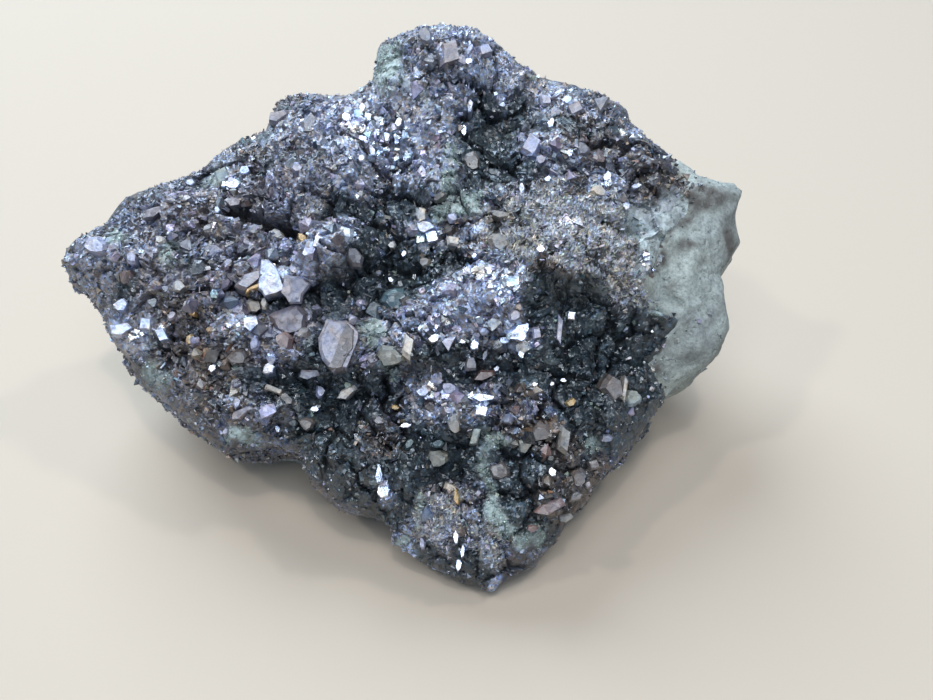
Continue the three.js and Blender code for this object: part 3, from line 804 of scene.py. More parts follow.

# ---------------------------------------------------------------- growth zones on the crust

# What grows where, and where painted light and shade go: a, b, half-width, half-height, turn, strength.
ZONES = {
    "fur": [(9.5, 3.7, 3.9, 2.8, -15, 9), (13.0, 1.7, 2.3, 1.7, -15, 7), (0.8, -15.4, 2.0, 1.8, 0, 3.5),
            (4.4, -17.0, 0.9, 1.4, 0, 3), (-8.0, 8.0, 4.0, 2.2, 30, 1.5), (-3.6, 11.6, 3.0, 2.2, 0, 2)],
    "moss": [(1.2, 8.1, 0.5, 0.9, 0, 7), (1.8, 6.2, 1.6, 0.42, 0, 8), (2.7, 6.9, 0.55, 0.9, 0, 6),
             (-3.2, 17.4, 0.9, 1.9, 0, 7), (-2.2, 14.8, 1.3, 0.6, -10, 5), (-0.7, 14.3, 0.8, 0.4, 0, 4),
             (-17.5, 2.9, 0.9, 1.2, 0, 7), (-22.1, 4.6, 1.0, 0.8, 0, 4), (-15.9, 9.1, 0.7, 0.7, 0, 3),
             (-3.6, -2.6, 1.1, 0.6, 0, 5), (-2.8, -4.9, 1.1, 0.5, 0, 2.5), (-13.9, -5.3, 1.0, 0.4, 0, 4),
             (-12.8, -10.0, 1.4, 0.45, 0, 4), (4.2, -9.8, 1.1, 0.4, 0, 8), (3.9, -11.4, 0.4, 1.3, 5, 9),
             (4.2, -13.8, 0.5, 1.1, 10, 8), (5.4, -15.5, 0.9, 0.5, -40, 7), (7.2, -16.2, 1.1, 0.45, 20, 5),
             (-0.2, -14.7, 0.4, 1.3, 0, 4), (-1.6, -16.8, 0.5, 0.4, 0, 3), (11.3, -10.1, 0.7, 0.7, 0, 6),
             (8.3, -4.8, 0.6, 0.35, 0, 4), (15.6, -1.3, 1.1, 0.4, 0, 4), (10.9, -0.3, 1.2, 0.3, 0, 3),
             (-19.3, -5.0, 1.5, 0.9, -35, 2), (1.5, 10.3, 0.8, 0.5, 20, 3), (5.8, 13.0, 0.6, 1.4, 0, 2)],
    # Dark zones: partly the dark crystals of the dark slope, and partly painted shade, as most of them lie
    # in the hollows of the face and round the left lump.
    "dark": [(13.6, -3.4, 3.6, 2.4, -20, 9), (14.6, -6.2, 2.4, 2.4, 0, 6), (9.4, -4.6, 3.0, 1.6, 0, 6),
             (-2.0, 1.6, 2.6, 1.8, 30, 6), (0.4, 1.7, 1.8, 0.9, 0, 7), (4.4, 11.2, 2.0, 3.4, -10, 4),
             (3.8, 15.6, 1.0, 1.4, 0, 5), (6.2, 9.6, 2.2, 1.2, 0, 4), (-9.0, -6.6, 3.6, 1.0, -15, 4),
             (1.2, -10.6, 3.0, 1.6, 0, 6), (6.9, -13.0, 2.2, 2.2, 30, 10), (9.3, -0.4, 2.0, 1.1, 10, 11),
             (-5.0, -6.8, 3.0, 1.2, 0, 4), (3.0, -4.8, 3.6, 0.9, 0, 4), (-6.0, 5.8, 1.5, 0.9, 0, 5),
             (-2.4, 7.6, 1.6, 1.8, 0, 5), (11.4, -8.6, 2.2, 1.6, -30, 5), (-3.8, 2.6, 0.9, 1.8, 0, 6),
             (-7.6, -4.4, 1.0, 1.4, 0, 4), (-7.8, -0.6, 2.0, 0.9, -30, 4), (-1.6, -12.9, 1.0, 1.6, 0, 3),
             (-11.0, -0.2, 1.9, 0.7, -50, 3), (6.9, 5.6, 1.6, 0.5, 10, 4), (-1.6, 18.4, 0.9, 1.2, 0, 3),
             (8.6, 13.0, 1.0, 1.6, 0, 4), (3.6, -17.6, 1.2, 1.2, 0, 2.5), (-3.4, -14.6, 1.2, 0.9, -40, 4),
             (10.6, -12.0, 1.0, 1.4, 0, 6), (8.6, -16.0, 0.8, 0.6, 0, 3), (0.2, -17.6, 0.8, 0.9, 0, 3),
             (-7.7, 10.1, 1.6, 0.9, 30, 7), (-11.1, 9.3, 1.5, 0.5, 25, 5), (-16.9, 8.4, 0.7, 0.5, 0, 6),
             (-18.2, 4.6, 0.6, 0.5, 0, 5), (-15.9, 2.3, 0.9, 0.8, 0, 6), (-21.0, 0.9, 1.1, 0.9, 0, 4),
             (-16.6, -0.4, 0.7, 0.5, 0, 4), (-14.1, 7.5, 0.9, 0.4, 20, 4), (-6.3, 0.2, 2.2, 0.45, 8, 7),
             (-4.0, 1.6, 0.5, 1.2, 0, 8), (2.6, -18.6, 1.1, 0.9, 0, 7), (-19.0, -2.9, 1.0, 0.4, -30, 4),
             (10.6, 12.2, 0.9, 0.5, -30, 5), (14.8, 9.6, 0.9, 0.5, -30, 4), (6.9, 14.9, 0.6, 1.2, 0, 4),
             (-10.6, 14.9, 1.4, 0.5, 10, 3), (-13.0, 12.2, 1.0, 0.6, 20, 4), (-9.4, -12.0, 0.9, 0.6, 0, 4),
             (-6.0, -12.6, 1.8, 0.8, -30, 5), (-5.0, -11.0, 3.0, 1.3, -30, 13),
             (-6.2, -10.2, 1.2, 0.6, 0, 4)],
    "dust": [(18.0, 7.2, 1.3, 0.9, 20, 5), (18.9, 6.2, 0.9, 1.2, 0, 6), (16.2, 4.6, 1.7, 1.8, 0, 9),
             (15.6, 1.6, 1.1, 1.7, 0, 8), (14.6, 5.4, 1.4, 1.2, -20, 6), (17.6, -1.2, 0.6, 0.5, 0, 3)],
    # Painted light: the first pale zone makes the lit top of the left lump.
    "pale": [(-7.0, 2.8, 1.8, 1.3, 20, 30), (-3.6, 11.6, 3.5, 3.0, 10, 18), (-8.4, 13.4, 2.6, 1.6, 0, 1.5),
             (1.8, 18.2, 3.2, 2.6, 0, 12), (7.6, 10.9, 1.6, 1.9, 20, 7), (9.2, 14.8, 1.8, 1.6, 0, 3),
             (12.4, 11.6, 3.2, 1.8, -35, 1.2), (0.9, -1.4, 2.4, 1.5, 20, 8), (4.4, 0.6, 2.3, 1.5, 0, 8),
             (-1.4, -2.0, 1.5, 0.8, 30, 6), (-22.6, 3.4, 3.0, 2.2, 0, 2), (-20.4, -2.2, 2.4, 1.0, 0, 3),
             (0.9, -6.8, 1.7, 0.7, 0, 5), (-14.6, 9.4, 2.6, 1.4, 30, 1.2), (-14.4, -2.6, 1.8, 1.8, 20, 3),
             (-10.4, 11.8, 2.2, 2.0, 0, 1), (13.6, 8.4, 2.2, 1.0, -20, 2), (0.8, -15.4, 1.2, 1.8, 0, 2)],
    # Bright zones paint highlights: where glints show, the ground's flecks are pale bluish white and nearly
    # all bright.
    "bright": [(5.2, 0.0, 0.9, 0.8, 0, 12), (3.8, 1.3, 1.0, 0.4, 0, 10), (6.1, -2.8, 0.9, 0.6, -40, 9),
               (-5.1, 12.7, 1.3, 1.0, 0, 6), (-2.9, -12.9, 0.5, 1.1, 0, 7), (9.3, 4.6, 0.8, 0.4, 0, 7),
               (-0.2, 4.6, 0.7, 0.8, 0, 6), (-13.9, 8.4, 0.9, 0.5, 0, 5), (4.7, -19.4, 0.5, 0.4, 0, 4),
               (15.5, 2.2, 0.4, 0.8, 0, 5)],
    "bronze": [(-12.2, 1.4, 1.4, 0.8, 0, 2), (5.6, -18.2, 0.9, 0.6, 0, 2), (9.4, -13.0, 2.4, 1.8, 30, 8),
               (-17.4, -2.2, 2.8, 3.0, 30, 2), (8.2, 0.9, 1.0, 0.4, 0, 8), (9.2, 0.6, 1.0, 0.4, -20, 8),
               (17.0, 8.6, 2.2, 1.3, -10, 7), (-3.6, -10.6, 2.4, 0.8, 0, 6), (-6.0, -12.0, 1.8, 1.2, 0, 3),
               (-7.4, 4.6, 0.6, 0.9, 40, 4), (8.9, -13.8, 1.8, 1.5, 0, 7), (12.5, -6.9, 1.6, 1.2, 0, 3),
               (8.2, -9.8, 1.9, 1.0, 0, 6), (-14.5, -4.6, 1.8, 1.6, 0, 3), (-15.4, -7.0, 2.2, 1.4, 0, 2),
               (-16.2, -0.6, 1.6, 1.6, 0, 2), (-5.0, -9.6, 2.0, 0.8, 0, 4),
               (11.6, 11.2, 3.0, 1.8, -35, 2.6), (-12.5, 10.4, 2.6, 1.4, 30, 1.8),
               (-16.4, 6.2, 2.0, 1.0, 0, 2), (11.6, 5.6, 1.2, 0.7, 0, 2)],
    "violet": [(-9.6, -2.4, 2.6, 2.4, 0, 2), (-6.4, 2.3, 1.9, 1.6, 0, 8), (-17.6, 0.8, 3.8, 3.6, 0, 2.5),
               (-14.0, 3.4, 3.2, 2.0, 0, 4), (-15.0, 7.6, 3.6, 1.4, 25, 3), (-10.0, 8.0, 2.6, 1.6, 20, 4),
               (-4.4, -12.4, 2.4, 1.2, -30, 2), (-18.0, 5.4, 2.4, 1.6, 0, 2), (-8.2, 10.6, 2.0, 1.2, 30, 3)],
}
KINDS = ["druse", *ZONES]
ZONE_CRISPNESS = 2.8  # how sharply one kind of growth gives way to the next
ZONE_WANDER = [(0.7, 1.9), (0.3, 0.7)]  # distance and width of the ragged edges of zones

# The ground of each kind of growth: colour between its chunks, how much of it is bright, how dull it is,
# and how much of it is drawn out into fibres. Part of it is painted light and shade: shade in the dark
# zones, highlights in the bright ones, and the lit top of the left lump in the pale zone there.
GROUND = {
    "druse": ((0.014, 0.018, 0.028), 0.55, 0.0, 0.4),
    "fur": ((0.080, 0.080, 0.086), 0.85, 0.35, 1.0),
    "moss": ((0.13, 0.16, 0.148), 0.85, 1.0, 0.1),
    "dark": ((0.006, 0.012, 0.017), 0.28, 0.15, 0.2),
    "dust": ((0.20, 0.22, 0.205), 0.8, 1.0, 0.3),
    "pale": ((0.070, 0.076, 0.100), 0.85, 0.1, 0.5),
    "bright": ((0.10, 0.11, 0.14), 0.9, 0.0, 0.2),
    "bronze": ((0.018, 0.014, 0.013), 0.55, 0.25, 0.6),
    "violet": ((0.038, 0.037, 0.056), 0.75, 0.2, 0.7),
}
# The tints of its chunks, with how often each comes. The pale bluish tints of the bright zones are painted
# highlights.
GROUND_TINTS = {
    "druse": [((0.29, 0.29, 0.34), 3), ((0.22, 0.18, 0.155), 3), ((0.11, 0.13, 0.17), 3),
              ((0.03, 0.035, 0.05), 3.5), ((0.45, 0.50, 0.62), 1.2)],
    "fur": [((0.54, 0.50, 0.45), 4), ((0.50, 0.50, 0.56), 3), ((0.44, 0.42, 0.32), 2.5),
            ((0.68, 0.68, 0.70), 1.5)],
    "moss": [((0.31, 0.345, 0.31), 4), ((0.39, 0.425, 0.38), 3), ((0.21, 0.24, 0.215), 3)],
    "dark": [((0.018, 0.030, 0.036), 6), ((0.045, 0.070, 0.080), 3), ((0.12, 0.17, 0.18), 1)],
    "dust": [((0.38, 0.42, 0.39), 5), ((0.27, 0.26, 0.25), 3), ((0.44, 0.46, 0.48), 1),
             ((0.13, 0.12, 0.12), 2.5)],
    "pale": [((0.50, 0.50, 0.56), 4), ((0.38, 0.36, 0.37), 3), ((0.66, 0.68, 0.74), 1.5),
             ((0.16, 0.17, 0.23), 2.2)],
    "bright": [((0.70, 0.75, 0.88), 4), ((0.45, 0.47, 0.56), 2)],
    "bronze": [((0.22, 0.155, 0.115), 3), ((0.12, 0.09, 0.075), 5), ((0.22, 0.11, 0.075), 1),
               ((0.05, 0.042, 0.040), 3), ((0.34, 0.32, 0.34), 1)],
    "violet": [((0.36, 0.34, 0.39), 4), ((0.29, 0.245, 0.215), 5), ((0.11, 0.105, 0.14), 3.2),
               ((0.52, 0.54, 0.64), 1.2), ((0.25, 0.25, 0.18), 1)],
}
GROUND_LIGHTNESS = np.array([1.26, 1.33, 1.41])  # of the bright faces of the ground, in red, green and blue
CRYSTAL_CAST = np.array([1.0, 1.05, 1.1])  # the crystals' faint blue
# Darker, browner places of the bare rock: a, b, half-width, half-height, turn, depth.
ROCK_DARK_PATCHES = [(19.9, 7.8, 1.5, 0.7, 15, 1.8), (22.0, 4.6, 0.7, 1.5, 0, 1.3),
               (17.6, 5.6, 1.3, 0.4, 30, 1.5), (18.2, 4.1, 0.8, 0.3, 20, 1.3),
               (16.6, 3.1, 0.5, 0.4, 0, 1.4), (19.4, -3.6, 2.6, 0.7, 10, 0.6),
               (17.2, 1.2, 0.4, 0.25, 30, 0.9), (19.4, 3.2, 0.5, 0.3, 20, 0.7),
               (16.4, -4.5, 0.3, 0.3, 0, 0.9), (16.2, 2.2, 0.3, 0.3, 0, 0.8), (21.6, 8.2, 1.0, 1.6, 0, 0.3),
               (20.6, -0.6, 1.2, 0.5, 40, 0.3)]
EDGE_DARK_STRIP = (0.45, 0.035)  # depth and reach of the darker strip of the bare rock beside the crust

# Finishes of crystals: red, green, blue, metal, roughness.
STEEL = (0.60, 0.64, 0.74, 0.85, 0.28)
PALE = (0.42, 0.415, 0.455, 0.25, 0.38)
LAVENDER = (0.265, 0.245, 0.305, 0.2, 0.36)
VIOLET = (0.115, 0.098, 0.128, 0.15, 0.34)
UMBER = (0.105, 0.075, 0.058, 0.05, 0.36)
BRONZE = (0.23, 0.15, 0.095, 0.15, 0.38)
RUST = (0.24, 0.11, 0.06, 0.0, 0.5)
BLACK = (0.014, 0.018, 0.028, 0.1, 0.18)
SLATE = (0.070, 0.090, 0.135, 0.2, 0.28)
GREEN = (0.25, 0.29, 0.255, 0.0, 0.8)
SAGE = (0.36, 0.40, 0.355, 0.0, 0.9)
DEEP = (0.016, 0.034, 0.040, 0.0, 0.3)
KHAKI = (0.46, 0.41, 0.30, 0.0, 0.6)
ASH = (0.56, 0.53, 0.50, 0.0, 0.6)
STONE = (0.34, 0.37, 0.35, 0.0, 0.8)
# The finishes of each kind of growth, with how often each comes. The near-black finishes of the dark zones
# partly paint shade, and the pale ones on the left lump its lit top.
PALETTES = {
    "druse": [(STEEL, 4), (PALE, 14), (LAVENDER, 14), (VIOLET, 12), (UMBER, 18), (BRONZE, 7), (BLACK, 18),
              (SLATE, 20)],
    "fur": [(ASH, 40), (KHAKI, 20), (PALE, 30), (UMBER, 4), (LAVENDER, 10)],
    "moss": [(GREEN, 50), (SAGE, 50)],
    "dark": [(DEEP, 42), (BLACK, 40), (GREEN, 5), (SLATE, 8), (PALE, 2), (UMBER, 3), (STEEL, 1)],
    "dust": [(STONE, 60), (UMBER, 14), (LAVENDER, 8), (PALE, 8), (BLACK, 8)],
    "pale": [(STEEL, 8), (PALE, 42), (LAVENDER, 26), (SLATE, 12), (VIOLET, 6), (UMBER, 6)],
    "bright": [(STEEL, 50), (PALE, 36), (LAVENDER, 14)],
    "bronze": [(BRONZE, 16), (UMBER, 38), (RUST, 5), (PALE, 5), (BLACK, 30)],
    "violet": [(VIOLET, 24), (LAVENDER, 32), (PALE, 18), (UMBER, 16), (SLATE, 10)],
}
# How unlike crystals of one finish are: in lightness, in each colour and in roughness.
FINISH_SPREAD = (0.3, 0.06, 0.25)


def zone_weights(a, b):
    """How strongly each kind of growth holds at points of the face, summing to 1."""
    weights = np.full((len(a), len(KINDS)), 1e-9)
    weights[:, 0] = 1
    wander_a, wander_b = (
        sum(distance * noise(a / width + apart, b / width) for distance, width in ZONE_WANDER)
        for apart in (0, 31))
    for column, zones in enumerate(ZONES.values(), start=1):
        for *zone, strength in zones:
            weights[:, column] += strength * spot(a + wander_a, b + wander_b, *zone)
    weights = weights**ZONE_CRISPNESS
    return weights / weights.sum(1, keepdims=True)


def pick(random, weights):
    """One column for each row, drawn by the rows' weights."""
    limits = np.cumsum(weights, axis=1)
    return (random.random((len(weights), 1)) * limits[:, -1:] > limits).sum(1)


def varied(random, finish):
    """Finishes made each a little its own."""
    count = len(finish)
    finish = finish.copy()
    lightness, colour, roughness = FINISH_SPREAD
    finish[:, :3] *= np.exp(random.normal(0, lightness, (count, 1)) + random.normal(0, colour, (count, 3)))
    finish[:, 4] *= np.exp(random.normal(0, roughness, count))
    return np.clip(finish, 0.005, 1)


def finishes_for(random, kinds):
    """A finish for each crystal from its kind's palette."""
    finish = np.zeros((len(kinds), 5))
    for index, kind in enumerate(KINDS):
        here = np.where(kinds == index)[0]
        if len(here):
            shades, shares = zip(*PALETTES[kind])
            weights = np.tile(np.array(shares, float), (len(here), 1))
            finish[here] = np.array(shades)[pick(random, weights)]
    finish[:, :3] *= CRYSTAL_CAST
    return varied(random, finish)


# ---------------------------------------------------------------- the crystals that stand out most

HERO_CLEARANCE = 0.42  # other crystals keep this share of a hero's width and height away from its middle
WIDE_HERO, WIDE_CLEARANCE = 1.8, 1.3  # from this width on they keep this many times as far away
HERO_DEPTH = 1.4  # how deep such crystals reach into the ground
HERO_RISE = 0.3  # how far they stand out of it
HIGH_GROUND = 0.7  # how much the highest ground under one counts, against the mean height
LAID_ON = 0.08  # how far the face that is drawn apart stands out of its crystal
BRIGHT_SLOPE, DARK_SLOPE = 0.1, 0.24  # how much narrower a bright and a dark one is at its top
UNEVEN, MEASURED_UNEVEN = 0.11, 0.02  # how uneven an outline's corners are, and those of a measured one
STRAY_REACH = 0.045  # how far over the bare rock stray grains lie, as a share of the face
STRAY_SHARE = 0.25


def waves(count, rates, starts=(0, 0)):
    """Pairs of numbers that go up and down, uneven to the eye."""
    n = np.arange(count)
    return np.column_stack([np.sin(rate * n + start) for rate, start in zip(rates, starts)])


def plate(outline, wide, tall, lot=0.0, slope=0.2, depth=HERO_DEPTH, uneven=UNEVEN):
    """A flat-topped crystal of an outline, uneven, with sides that slope more on one side."""
    corners = np.array(outline) + uneven * waves(len(outline), (7, 11), (9 * lot, 5 * lot + 1))
    middles = (corners + np.roll(corners, -1, axis=0)) / 2
    ring = np.stack([corners, middles], axis=1).reshape(-1, 2)
    ring += 0.022 * waves(len(ring), (17, 23), (3 * lot, lot))
    top = ring * (1 - slope) + 0.45 * slope * np.array([math.cos(3 * lot), math.sin(3 * lot)])
    drop = 1.1 * slope * min(wide, tall)
    count = len(ring)
    rings = [(top, depth / 2), (ring, depth / 2 - drop), (ring * 1.05, -depth / 2)]
    points = [np.column_stack([points * (wide, tall), np.full(count, height)]) for points, height in rings]
    middle = top.mean(0) * (wide, tall)
    points += [np.array([[*middle, depth / 2], [0, 0, -depth / 2]])]
    faces = []
    for n in range(count):
        m = (n + 1) % count
        faces += [(3 * count, n, m), (n, n + count, m), (m, n + count, m + count)]
        faces += [(n + count, n + 2 * count, m + count), (m + count, n + 2 * count, m + 2 * count)]
        faces += [(3 * count + 1, m + 2 * count, n + 2 * count)]
    return np.vstack(points), np.array(faces)


# Outlines of those crystals, anticlockwise, in a square one wide.
HEXAGON = [(-0.50, 0.06), (-0.34, -0.40), (0.08, -0.50), (0.47, -0.30), (0.50, 0.14), (0.20, 0.50),
           (-0.28, 0.44)]
SEVEN_SIDED = [(-0.50, 0.12), (-0.42, -0.30), (-0.12, -0.50), (0.16, -0.48), (0.44, -0.06), (0.50, 0.28),
               (0.22, 0.50), (-0.26, 0.47)]
KITE = [(-0.46, 0.00), (-0.48, -0.24), (-0.20, -0.46), (0.50, -0.30), (0.30, 0.16), (-0.10, 0.50),
        (-0.42, 0.48)]
TRAPEZE = [(-0.50, -0.12), (-0.20, -0.48), (0.16, -0.50), (0.26, -0.16), (0.50, 0.22), (0.10, 0.42),
           (-0.30, 0.50)]
SLAB = [(-0.50, -0.28), (-0.08, -0.50), (0.50, 0.04), (0.38, 0.46), (-0.36, 0.34)]
CHIP = [(-0.50, -0.10), (-0.18, -0.50), (0.28, -0.42), (0.50, 0.10), (0.10, 0.50), (-0.30, 0.38)]
BLOCK = [(-0.50, -0.44), (0.42, -0.50), (0.50, 0.40), (-0.40, 0.50)]
WEDGE = [(-0.50, 0.42), (-0.04, -0.50), (0.50, 0.46)]
# The darker half of the seven-sided one.
LOWER_RIGHT = [(-0.22, -0.50), (0.16, -0.48), (0.44, -0.06), (0.50, 0.28), (0.28, 0.44), (0.02, -0.04)]
WELL_SEEN = (SEVEN_SIDED, KITE, TRAPEZE, LOWER_RIGHT)  # these keep their measured corners

# Their finishes.
WHITE = (0.78, 0.82, 0.93, 1.0, 0.25)
SILVER = (0.52, 0.55, 0.66, 0.6, 0.36)
LILAC = (0.30, 0.30, 0.40, 0.2, 0.42)
PEARL = (0.31, 0.29, 0.345, 0.1, 0.5)
GREY = (0.16, 0.16, 0.20, 0.1, 0.45)
DUSK = (0.10, 0.078, 0.08, 0.05, 0.5)
MAUVE = (0.20, 0.165, 0.185, 0.1, 0.45)
SAND = (0.42, 0.37, 0.31, 0.1, 0.45)
TAUPE = (0.19, 0.165, 0.135, 0.0, 0.5)
BROWN = (0.095, 0.068, 0.055, 0.0, 0.45)
RUSSET = (0.16, 0.078, 0.062, 0.0, 0.45)
GOLD = (0.46, 0.29, 0.10, 0.4, 0.35)
OLIVE = (0.125, 0.115, 0.08, 0.0, 0.5)
JADE = (0.26, 0.30, 0.275, 0.0, 0.7)
TEAL = (0.03, 0.08, 0.09, 0.0, 0.35)
JET = (0.014, 0.018, 0.028, 0.0, 0.25)
# Painted shade: a near-black finish for the shaded facet right of the left lump.
PAINTED_SHADE = (0.060, 0.052, 0.068, 0.0, 0.5)
BRIGHT_FINISHES = (WHITE, SILVER, PEARL, DUSK)  # crystals of these have the bright ones' slope
